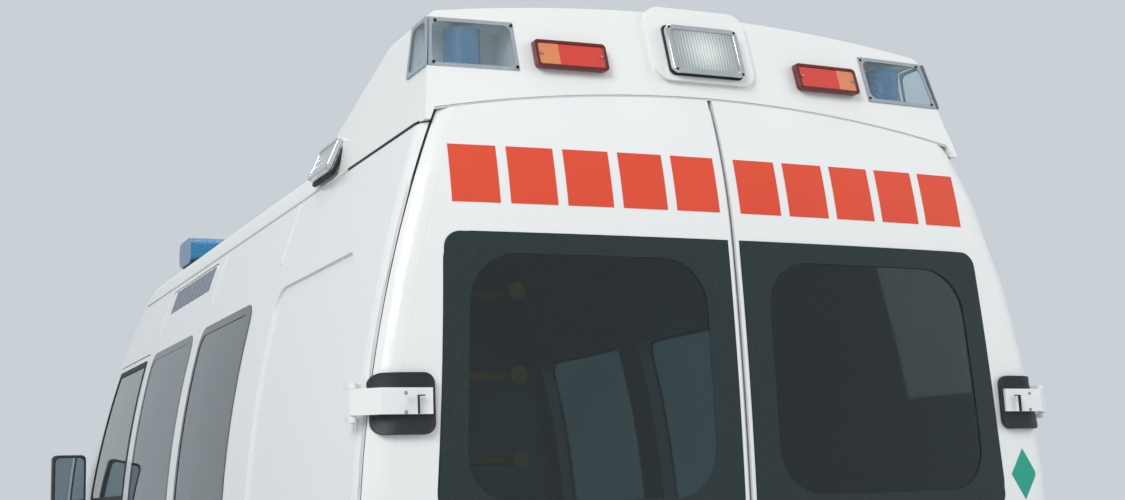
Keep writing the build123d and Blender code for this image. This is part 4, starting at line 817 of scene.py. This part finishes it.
film(bm, (0.003, -0.735, 1.172), along_y, 0.83, 0.026, 4, 2)
to_side(bm, -1)
thicken(bm, 0.004)
add_piece("sliding_rail_cap", bm, grained, bevel=0.001)


def pull_handle(name, side, y, z, body):
    """A recessed cup with a grip bar across it."""
    bm = bmesh.new()
    cup = slab(bm, corners_yz(y - 0.1, y + 0.1, z - 0.032, z + 0.032), 0.02)
    sink(bm, rise(bm, cup, (0.008, 0, 0)), 0.008, (-0.006, 0, 0))
    for low, high in ((-0.085, -0.065), (0.065, 0.085)):
        block(bm, (0.004, y + low, z - 0.011), (0.028, y + high, z + 0.011))
    block(bm, (0.022, y - 0.085, z - 0.012), (0.033, y + 0.085, z + 0.012))
    to_side(bm, side)
    add_piece(name, bm, grained, body, bevel=0.003)


pull_handle("sliding_door_handle", -1, -0.155, 1.06, "vehicle")
# Painted shade: a thin black band on the panel round the flap stands for the shade in its gap.
bm = bmesh.new()
flap = corners_yz(-1.065, -0.895, 0.935, 1.105, 0.0005)
band(bm, corners_yz(-1.07, -0.89, 0.93, 1.11, 0.0005), 0.03, flap, 0.026)
to_side(bm, -1)
thicken(bm, 0.001)
add_piece("fuel_flap_gap", bm, dark_rubber_and_gap_shade)
bm = bmesh.new()
rise(bm, slab(bm, flap, 0.026, 8), (0.003, 0, 0))
rod(bm, (0.0, -1.079, 0.985), (0.0, -1.079, 1.055), 0.006)
to_side(bm, -1)
add_piece("fuel_flap", bm, enamel, bevel=0.001)

# Cab doors: window seals in extruded rubber, pull handles across a moulded cup, and grained mirror
# housings that carry a silvered glass behind a black rim.
dress(grained, "mirror_left", "mirror_right")
mirror_glass = start_finish("silvered_mirror_glass", "#A9B7C0", 0.03, Metallic=1.0)
mottle(mirror_glass, 6.0, "#9FB0BA", "#B5C2CA", 1.0)
seal_outer = ((0.752, 1.4), (0.752, 1.989), (1.43, 1.989), (1.674, 1.43), (1.654, 1.4))
seal_inner = ((0.776, 1.424), (0.776, 1.965), (1.415, 1.965), (1.642, 1.446), (1.632, 1.424))
for side, word in SIDES:
    body = f"cab_door_{word}_body"
    bm = bmesh.new()
    outer, inner = ([(0, y, z) for y, z in line] for line in (seal_outer, seal_inner))
    band(bm, outer, 0.012, inner, 0.012)
    to_side(bm, side)
    bmesh.ops.translate(bm, verts=bm.verts, vec=(side * 0.003, 0, 0))
    thicken(bm, 0.003)
    add_piece(f"cab_seal_{word}", bm, dark_rubber_and_gap_shade, body)
    pull_handle(f"cab_handle_{word}", side, 0.86, 1.07, body)
    bm = bmesh.new()
    faces = slab(bm, corners_xz(side * 1.046, side * 1.176, 1.368, 1.612, 1.586), 0.022, 8)
    sink(bm, rise(bm, faces, (0, -0.003, 0)), 0.004)
    add_piece(f"mirror_glass_{word}", bm, mirror_glass, body, bevel=0.001)
    bm = bmesh.new()
    outer = corners_xz(side * 1.038, side * 1.182, 1.359, 1.621, 1.585)
    inner = corners_xz(side * 1.047, side * 1.175, 1.369, 1.611, 1.585)
    rise(bm, band(bm, outer, 0.03, inner, 0.022), (0, -0.005, 0))
    add_piece(f"mirror_rim_{word}", bm, grained, body, bevel=0.001)

# Nose: a black grille with bright bars, headlamps with round reflectors and a fluted, silvery
# lens, and a grained bumper with fog lamps, a lower intake mesh and a blank number plate. The
# amber lenses are ribbed and glossy.
dress(grained, "grille", "front_bumper")
headlamp_lens = start_finish(
    "polycarbonate_over_reflector", "#B9C0C5", 0.07, Coat_Weight=1.0, Metallic=0.55
)
flutes(headlamp_lens, 16.0, "X", 0.001, 0.5, "#8C959B", "#D4D9DC")
dress(headlamp_lens, "headlamps")
amber = start_finish("acrylic_lens_amber", "#E08A1E", 0.12, Coat_Weight=0.8)
flutes(amber, 40.0, "Z", 0.0008, 0.6, "#C96F12", "#EE9A2E")
plate_white = start_finish("reflective_sheet_white", "#E6E7E5", 0.3, Coat_Weight=0.4)
cells(plate_white, 900.0, low="#EBECEA", high="#D5D7D6")
nose_bow, nose_axis_y, grille_middle, nose_slope = 4.2, -1.5, 0.9, 0.06 / 0.11
bumper_bow, bumper_front, plate_z = 4.307, 2.75, 0.60


def nose_y(x, z):
    """Front face of the nose: upright to the grille's middle, sloped above, and bowed in plan."""
    offset = nose_slope * max(0.0, z - grille_middle)
    return nose_axis_y + math.sqrt((nose_bow - offset) ** 2 - x * x)


def bumper_y(x):
    """Front face of the bumper, which is bowed in plan."""
    return bumper_front - bumper_bow + math.sqrt(bumper_bow**2 - x * x)


def lathe(bm, profile, place, steps=48):
    """Spin (radius, height) points round Z, then place them by a matrix."""
    before = set(bm.verts)
    row = [bm.verts.new((radius, 0, height)) for radius, height in profile]
    edges = [bm.edges.new(pair) for pair in zip(row, row[1:])]
    bmesh.ops.spin(
        bm,
        geom=row + edges,
        cent=(0, 0, 0),
        axis=(0, 0, 1),
        angle=math.tau,
        steps=steps,
        use_merge=True,
    )
    made = [v for v in bm.verts if v not in before]
    bmesh.ops.remove_doubles(bm, verts=made, dist=1e-6)
    made = [v for v in bm.verts if v not in before]
    bmesh.ops.transform(bm, matrix=place, verts=made)


def ahead_at(x, y, z, turn):
    """A place on the nose, turned outwards by an angle, with its Z axis pointing forwards."""
    outwards = Matrix.Rotation(turn, 4, "Z")
    return Matrix.Translation((x, y, z)) @ outwards @ turn_by(-90, "X")


bm = bmesh.new()
for i in range(5):
    film(bm, (0, 0.006, 0.768 + 0.043 * i), along_x, 0.90, 0.016, 12, 1)
for v in bm.verts:
    v.co.y += nose_y(v.co.x, v.co.z)
thicken(bm, 0.008)
add_piece("grille_bars", bm, edge_trim, bevel=0.002)
bm = bmesh.new()
for x in (-0.22, 0, 0.22):
    y = nose_y(x, 0.86)
    block(bm, (x - 0.006, y - 0.004, 0.745), (x + 0.006, y + 0.004, 0.955))
add_piece("grille_posts", bm, grained, bevel=0.002)
for side, word in SIDES:
    bm = bmesh.new()
    for x, z, radius in ((0.575, 0.868, 0.062), (0.725, 0.868, 0.066)):
        bowl = [(radius + 0.008, -0.002), (radius + 0.006, 0.006), (radius, 0.004)]
        bowl += [(radius * 0.55, 0.0), (0, 0.003)]
        lathe(bm, bowl, ahead_at(side * x, nose_y(x, z) - 0.001, z, -side * x / nose_bow))
    add_piece(f"headlamp_bowls_{word}", bm, chrome, sharp=60)
    bm = bmesh.new()
    at = ahead_at(side * 0.72, bumper_y(0.72) + 0.004, 0.45, -side * 0.19)
    lathe(bm, [(0.056, 0.0), (0.052, 0.012), (0.044, 0.01), (0, 0.013)], at)
    add_piece(f"fog_lamp_{word}", bm, lens_glass, sharp=50)
    bm = bmesh.new()
    rod(bm, (side * 1.0125, 1.60, 0.86), (side * 1.02, 1.60, 0.86), 0.022, 20, 0.017)
    add_piece(f"side_repeater_{word}", bm, amber, bevel=0.002)
bm = bmesh.new()
for i in range(3):
    film(bm, (0, -0.018, 0.44 + 0.03 * i), along_x, 0.72, 0.009, 10, 1)
for i in range(12):
    film(bm, (-0.33 + 0.06 * i, -0.02, 0.47), along_x, 0.007, 0.12, 1, 1)
for v in bm.verts:
    v.co.y += bumper_y(v.co.x)
thicken(bm, 0.006)
add_piece("intake_mesh", bm, grained)
bm = bmesh.new()
film(bm, (0, 0.004, plate_z), along_x, 0.52, 0.111, 8, 2)
for v in bm.verts:
    v.co.y += bumper_y(v.co.x)
thicken(bm, 0.004)
for x in (-0.21, 0.21):
    screw(bm, (x, bumper_y(x) + 0.004, plate_z), (0, 1, 0))
add_piece("front_plate", bm, plate_white, bevel=0.001)

# Wipers: two black steel arms with rubber blades, parked low on the windscreen, on spindles that
# come through the cowl.
glass_foot, glass_head, glass_bow = Vector((0, 2.176, 1.29)), Vector((0, 1.60, 2.0)), 4.2
up_glass = (glass_head - glass_foot).normalized()
off_glass = Vector((0, up_glass.z, -up_glass.y))


def on_glass(x, up, out):
    """A point on the bowed windscreen: sideways, up its slope, and clear of it."""
    bow = glass_bow - math.sqrt(glass_bow**2 - x * x)
    return glass_foot + Vector((x, -bow, 0)) + up_glass * up + off_glass * out


def tube(bm, points, radius):
    """A round tube along points, with eased bends."""
    line = bpy.data.curves.new("line", "CURVE")
    line.dimensions, line.use_fill_caps = "3D", True
    line.bevel_depth, line.bevel_resolution = radius, 3
    spline = line.splines.new("NURBS")
    spline.points.add(len(points) - 1)
    for point, place in zip(spline.points, points):
        point.co = (*place, 1)
    spline.order_u, spline.use_endpoint_u = 3, True
    holder = bpy.data.objects.new("line", line)
    mesh = bpy.data.meshes.new_from_object(holder)
    bm.from_mesh(mesh)
    bpy.data.objects.remove(holder)
    bpy.data.meshes.remove(mesh)
    bpy.data.curves.remove(line)


for word, root, tip in (("left", -0.62, -0.02), ("right", 0.02, 0.64)):
    bm = bmesh.new()
    arm = [(root, -0.02, 0.018), (root + 0.12, 0.02, 0.04)]
    arm += [(tip - 0.3, 0.09, 0.034), (tip - 0.28, 0.1, 0.026)]
    tube(bm, [on_glass(*p) for p in arm], 0.006)
    rod(bm, on_glass(root, -0.02, -0.005), on_glass(root, -0.02, 0.03), 0.014)
    add_piece(f"wiper_arm_{word}", bm, black_steel)
    bm = bmesh.new()
    blade = [(root + 0.06 + (tip - root) * t / 4, 0.06 + 0.09 * t / 4, 0.012) for t in range(5)]
    tube(bm, [on_glass(*p) for p in blade], 0.006)
    add_piece(f"wiper_blade_{word}", bm, dark_rubber_and_gap_shade)

# Rear step: a folded tread of aluminium chequer plate, with two buffer strips along its edge and a
# red reflector at each end. Its raised bars are worn bright and cross at right angles.
chequer = start_finish("aluminium_chequer_plate", "#B2B5B8", 0.36, Metallic=0.95)
tree = chequer.tree
crossed = []
for angle in (45, -45):
    spin = (0, 0, math.radians(angle))
    turned = add_node(tree, "Mapping", Vector=chequer.place, Rotation=spin).outputs["Vector"]
    waves = []
    for scale, axis in ((13.0, "X"), (6.5, "Y")):
        wave = add_node(tree, "TexWave", Vector=turned, Scale=scale, bands_direction=axis)
        waves.append(wave.outputs["Fac"])
    crossed.append(add_node(tree, "Math", *waves, operation="MULTIPLY").outputs[0])
both = add_node(tree, "Math", *crossed, operation="MAXIMUM").outputs[0]
raised = add_node(tree, "MapRange", both, From_Min=0.62, From_Max=0.75).outputs["Result"]
bump_by(chequer, raised, 0.0015)
tint_by(chequer, raised, "#9FA2A5", "#C9CBCC")
dress(chequer, "rear_step")
red_lens = start_finish("acrylic_lens_red", "#B3180F", 0.12, Coat_Weight=0.8)
flutes(red_lens, 60.0, "X", 0.0008, 0.6, "#93120C", "#C9241A")
bm = bmesh.new()
for z in (0.425, 0.475):
    block(bm, (-0.9, -2.755, z - 0.008), (0.9, -2.748, z + 0.008))
add_piece("step_buffer", bm, grained, bevel=0.003)
for side, word in SIDES:
    bm = bmesh.new()
    faces = slab(bm, corners_xz(side * 0.80, side * 0.89, 0.438, 0.462, -2.749), 0.008)
    rise(bm, faces, (0, -0.008, 0))
    add_piece(f"step_reflector_{word}", bm, red_lens, bevel=0.001)

# Wheels: pressed steel rims in silver paint, dulled by brake dust, with six nuts and a hub cap.
# The tyres are moulded rubber, matt and dusty, with four grooves round the tread and notches cut
# in its shoulders.
silver = start_finish("silver_wheel_paint", "#A9ACAE", 0.34, Metallic=0.6)
roughen(silver, 400.0, 0.00005)
mottle(silver, 12.0, "#8D8F90", "#B6B9BB", 5.0)
dress(silver, "rim_front_left", "rim_front_right", "rim_rear_left", "rim_rear_right")
tyre_rubber = start_finish("tyre_rubber_black", "#1B1B1C", 0.78)
mottle(tyre_rubber, 9.0, "#161617", "#2C2A28", 6.0)
roughen(tyre_rubber, 260.0, 0.0004)
tyre_radius, bead_radius, tyre_steps, nut_circle, nut_seat = 0.349, 0.203, 96, 0.068, 0.0695
shoulder_radius, shoulder_in, shoulder_out = 0.344, 0.058, 0.098
wall = [(0.101, bead_radius), (0.109, 0.225), (0.1125, 0.27), (0.110, 0.305)]
wall += [(0.1045, 0.332), (0.0985, 0.342), (0.090, 0.3478)]
tread = list(wall)
for centre in (0.052, 0.018, -0.018, -0.052):
    groove = ((0.005, tyre_radius), (0.0035, 0.341), (-0.0035, 0.341), (-0.005, tyre_radius))
    tread += [(centre + x, r) for x, r in groove]
tread += [(-x, r) for x, r in wall[::-1]]
nut = [(0.013, 0), (0.013, 0.003), (0.0095, 0.005), (0.0095, 0.019), (0.006, 0.022), (0, 0.022)]
hub_cap = [(0.046, nut_seat), (0.046, 0.073), (0.036, 0.085), (0.033, 0.096), (0.012, 0.099)]
hub_cap += [(0, 0.099)]
for end, axle_y, wheel_x in (("front", 1.890, 0.875), ("rear", -1.688, 0.862)):
    for side, word in SIDES:
        body = f"wheel_{end}_{word}"
        centre = (side * wheel_x, axle_y, tyre_radius)
        hub = Matrix.Translation(centre) @ turn_by(90 * side, "Y")
        bm = bmesh.new()
        outline = [(r, x) for x, r in tread] + [(bead_radius, 0.101)]
        lathe(bm, outline, Matrix.Identity(4), tyre_steps)
        notches = []
        for face in bm.faces:
            x, y, z = face.calc_center_median()
            turn = int((math.atan2(y, x) % math.tau) / (math.tau / tyre_steps))
            on_shoulder = math.hypot(x, y) > shoulder_radius
            if on_shoulder and shoulder_in < abs(z) < shoulder_out and turn % 3 == 0:
                notches.append(face)
        for face in bmesh.ops.extrude_discrete_faces(bm, faces=notches)["faces"]:
            x, y, _ = face.calc_center_median()
            inward = Vector((-x, -y, 0)).normalized() * 0.006
            bmesh.ops.translate(bm, verts=face.verts, vec=inward)
        bmesh.ops.transform(bm, matrix=hub, verts=bm.verts)
        name = f"tyre_tread_{end}_{word}"
        tyre = add_piece(name, bm, tyre_rubber, body, sharp=50)
        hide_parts(f"tyre_{end}_{word}")
        bm = bmesh.new()
        for turn in (math.tau * i / 6 for i in range(6)):
            x, y = nut_circle * math.cos(turn), nut_circle * math.sin(turn)
            lathe(bm, nut, hub @ Matrix.Translation((x, y, nut_seat)), 6)
        lathe(bm, hub_cap, hub, 32)
        add_piece(f"wheel_nuts_{end}_{word}", bm, zinc, body, sharp=30)

# Running gear: rails and axle coated in black wax, cast hubs and engine block left as cast, and an
# exhaust and tank below the floor. All of it carries road dust.
wax = start_finish("wax_coated_steel", "#17181A", 0.55)
mottle(wax, 7.0, "#121314", "#3A3631", 6.0)
roughen(wax, 90.0, 0.0003)
dress(wax, "front_subframe", "rear_axle", "tank_and_exhaust")
cast = start_finish("cast_iron", "#4C4B49", 0.62, Metallic=0.7)
mottle(cast, 18.0, "#3B3A38", "#615C54", 6.0)
roughen(cast, 350.0, 0.0005)
dress(cast, "engine_block", "knuckle_left", "knuckle_right")

# Radiator: a core of thin black fins between two end tanks, which stands on the engine's front
# behind the grille and fills the view through the intake. Its filler neck is on the right.
core_back, fin_pitch = 2.4205, 0.019
bm = bmesh.new()
block(bm, (-0.345, core_back, 0.335), (0.345, 2.480, 0.805))
for z in (0.35 + fin_pitch * i for i in range(24)):
    block(bm, (-0.335, 2.478, z), (0.335, 2.486, z + 0.008))
for x in (-0.365, 0.325):
    block(bm, (x, core_back, 0.325), (x + 0.04, 2.492, 0.815))
rod(bm, (0.22, 2.455, 0.80), (0.22, 2.455, 0.835), 0.026, 20)
add_piece("radiator_core", bm, black_steel, bevel=0.0015)

# Floor: grey safety vinyl with fine flecks, laid on the steel deck. Below it the deck's sheet and
# its beams are black.
floor_vinyl = start_finish("safety_vinyl_grey", "#6C7479", 0.55)
tree = floor_vinyl.tree
deck_z = 0.574
height = add_node(tree, "SeparateXYZ", floor_vinyl.place).outputs["Z"]
top_side = add_node(tree, "Math", height, deck_z, operation="GREATER_THAN").outputs[0]
flecks = cells(floor_vinyl, 260.0, 0.0002)
speckle = between(floor_vinyl, flecks, "#7E878C", "#596166")
tint_by(floor_vinyl, top_side, "#1A1B1C", speckle)
dress(floor_vinyl, "floor")

# Inside: bulkhead and lockers in pale laminate, which is smooth and even, a dashboard in dull grey
# ABS with a pebbled grain, and yellow epoxy-coated grab rails on the left rear door.
laminate = start_finish("laminate_pale_grey", "#D5D6D1", 0.42)
mottle(laminate, 4.0, "#CFD0CB", "#DCDDD9", 4.0)
roughen(laminate, 600.0, 0.00005)
dress(laminate, "bulkhead", "lockers")
dash_grain = start_finish("abs_grained_dark_grey", "#34373A", 0.55)
cells(dash_grain, 450.0, 0.0002)
mottle(dash_grain, 5.0, "#2E3134", "#3C4043", 4.0)
dress(dash_grain, "dashboard")
yellow_paint = start_finish("epoxy_coat_yellow", "#E3B21C", 0.35, Coat_Weight=0.3)
mottle(yellow_paint, 20.0, "#DBA916", "#E9BD2A")
locker_face, rail_left, rail_right = 0.409, -0.735, -0.585
bm = bmesh.new()
for y in (-1.95, -1.22, -0.49, 0.2):
    for z in (0.72, 0.98):
        door = corners_yz(y - 0.3, y + 0.3, z - 0.11, z + 0.11, locker_face)
        rise(bm, slab(bm, door, 0.01), (-0.012, 0, 0))
add_piece("locker_fronts", bm, laminate, bevel=0.002)
bm = bmesh.new()
for z in (1.862, 1.655, 1.448):
    rail = [(rail_left, -2.590), (rail_left, -2.55), (-0.71, -2.53), (-0.61, -2.53)]
    rail += [(rail_right, -2.55), (rail_right, -2.600)]
    tube(bm, [(x, y, z) for x, y in rail], 0.012)
    for x in (rail_left, rail_right):
        rod(bm, (x, -2.601, z), (x, -2.596, z), 0.022, 20)
rail_body = "rear_door_left_body"
add_piece("grab_rails", bm, yellow_paint, rail_body, sharp=50)

# Seats: moulded shells with foam cushions in woven cloth, with two sewn channels in each cushion
# and back. The foam is modelled by subdivided, crowned forms with drawn-in seams. The weave is
# drawn coarser than its threads, so that it shows.
cloth = start_finish("woven_seat_cloth", "#3A4452", 0.85, Sheen_Weight=0.3)
weave = []
for axis in ("X", "Z"):
    wave = add_node(cloth.tree, "TexWave", Vector=cloth.place, Scale=160.0, bands_direction=axis)
    weave.append(wave.outputs["Fac"])
threads = add_node(cloth.tree, "Math", *weave, operation="MULTIPLY").outputs[0]
bump_by(cloth, threads, 0.0006, 0.7)
tint_by(cloth, threads, "#2C3441", "#4C586A")
side_pull, edge_round, corner_pull, rim_height = 0.06, 0.10, 0.04, 0.62
channel_width, channel_depth, seat_x = 0.035, 0.13, 0.48


def cushion(name, size, place, channels=(-0.42, 0.42)):
    """A crowned pad: a subdivided block, drawn in at its corners and along its sewn channels."""
    bm = bmesh.new()
    bmesh.ops.create_cube(bm, size=2)
    bmesh.ops.subdivide_edges(bm, edges=bm.edges[:], cuts=27, use_grid_fill=True)
    for v in bm.verts:
        x, y, z = v.co
        flat = (1 - x * x * 0.5 * y * y) * (1 - side_pull * (1 - (1 - abs(z)) ** 2))
        domed = math.sqrt(max(0.0, (1 - x**4) * (1 - y**4)))
        crown = rim_height + (1 - rim_height) * domed
        seam = sum(math.exp(-(((x - at) / channel_width) ** 2)) for at in channels) * (1 - y**8)
        round_in = 1 - edge_round * abs(z) ** 6
        v.co.x = x * round_in * (1 - corner_pull * y * y)
        v.co.y = y * round_in * (1 - corner_pull * x * x)
        v.co.z = z * crown * flat - channel_depth * seam * max(0, z)
    smooth = {"use_axis_x": True, "use_axis_y": True, "use_axis_z": True}
    bmesh.ops.smooth_vert(bm, verts=bm.verts, factor=0.5, **smooth)
    scaled = place @ Matrix.Diagonal((*(s / 2 for s in size), 1))
    bmesh.ops.transform(bm, matrix=scaled, verts=bm.verts)
    pad = add_piece(name, bm, cloth, sharp=70)
    round_off = pad.modifiers.new("round", "SUBSURF")
    round_off.levels = round_off.render_levels = 1
    return pad


seat_parts = []
for side, word in SIDES:
    x = side * seat_x
    bm = bmesh.new()
    base = slab(bm, corners_xy(x - 0.205, x + 0.205, 0.855, 1.245, 0.582), 0.03)
    rise(bm, base, (0, 0, 0.26))
    leaned = Matrix.Translation((x, 0.862, 1.25)) @ turn_by(7.5, "X")
    panel = ((-0.225, -0.33), (0.225, -0.33), (0.205, 0.30), (-0.205, 0.30))
    faces = slab(bm, [leaned @ Vector((across, -0.05, up)) for across, up in panel], 0.05)
    rise(bm, faces, leaned.to_3x3() @ Vector((0, 0.025, 0)))
    for step in (-0.06, 0.06):
        rod(bm, (x + step, 0.815, 1.53), (x + step, 0.805, 1.6), 0.007)
    shell = add_piece(f"seat_shell_{word}", bm, dash_grain, bevel=0.006)
    flat_at = Matrix.Translation((x, 1.06, 0.895))
    back_at = leaned @ Matrix.Translation((0, 0.03, -0.01)) @ turn_by(-90, "X")
    rest_at = Matrix.Translation((x, 0.805, 1.62)) @ turn_by(-84, "X")
    seat_parts += [
        shell,
        cushion(f"seat_cushion_{word}", (0.5, 0.47, 0.15), flat_at),
        cushion(f"seat_back_{word}", (0.48, 0.66, 0.11), back_at),
        cushion(f"head_rest_{word}", (0.25, 0.18, 0.09), rest_at, ()),
    ]
for part in seat_parts:
    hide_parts("seats")

# Studio: a pale floor and backdrop, soft overhead light, and the camera low behind the vehicle's
# left rear corner, looking up at the roof.
concrete = start_finish("studio_floor_pale", "#C9CDD0", 0.85)
mottle(concrete, 0.8, "#C6CACD", "#CDD1D4", 4.0)
bm = bmesh.new()
bmesh.ops.create_grid(bm, x_segments=1, y_segments=1, size=60)
floor_mesh = bpy.data.meshes.new("studio_floor")
bm.to_mesh(floor_mesh)
bm.free()
floor_mesh.materials.append(concrete.material)
studio_floor = bpy.data.objects.new("studio_floor", floor_mesh)
bpy.context.collection.objects.link(studio_floor)

world = bpy.context.scene.world or bpy.data.worlds.new("studio")
bpy.context.scene.world = world
world.use_nodes = True
tree = world.node_tree
tree.nodes.clear()
rays = add_node(tree, "LightPath").outputs
seen = rays["Is Camera Ray"]
for ray in ("Is Transmission Ray", "Is Glossy Ray"):
    seen = add_node(tree, "Math", seen, rays[ray], operation="MAXIMUM").outputs["Value"]
around = add_node(tree, "Background", Color=linear("#E6EAEE"), Strength=0.62).outputs[0]
backdrop = add_node(tree, "Background", Color=linear("#C9D0D6"), Strength=1.0).outputs[0]
choice = add_node(tree, "MixShader", seen, around, backdrop)
add_node(tree, "OutputWorld", Surface=choice.outputs["Shader"])


def soft_lamp(name, place, aim, size, watts, mirrored=True):
    """A square area lamp that looks at a point, and may stay out of the reflections."""
    data = bpy.data.lights.new(name, "AREA")
    data.size, data.energy = size, watts
    lamp = bpy.data.objects.new(name, data)
    lamp.location = place
    lamp.rotation_euler = (Vector(aim) - Vector(place)).to_track_quat("-Z", "Y").to_euler()
    lamp.visible_glossy = mirrored
    bpy.context.collection.objects.link(lamp)


soft_lamp("key", (-7.0, -8.0, 7.5), (0, -1.5, 1.4), 5.0, 570)
soft_lamp("fill", (7.5, -7.0, 5.0), (0, -1.5, 1.4), 5.0, 240, mirrored=False)
soft_lamp("top", (0.0, 1.0, 9.0), (0, 0, 1.0), 6.0, 280)

yaw, pitch, roll = -24.153, 8.799, -1.6595
aimed = turn_by(yaw, "Z") @ turn_by(90 + pitch, "X") @ turn_by(roll, "Z")
lens = bpy.data.cameras.new("camera")
lens.lens, lens.sensor_width, lens.clip_end = 52.16, 36.0, 200
camera = bpy.data.objects.new("camera", lens)
camera.matrix_world = Matrix.Translation((-2.113, -6.290, 1.343)) @ aimed
bpy.context.collection.objects.link(camera)
bpy.context.scene.camera = camera
bpy.context.scene.view_settings.view_transform = "Standard"
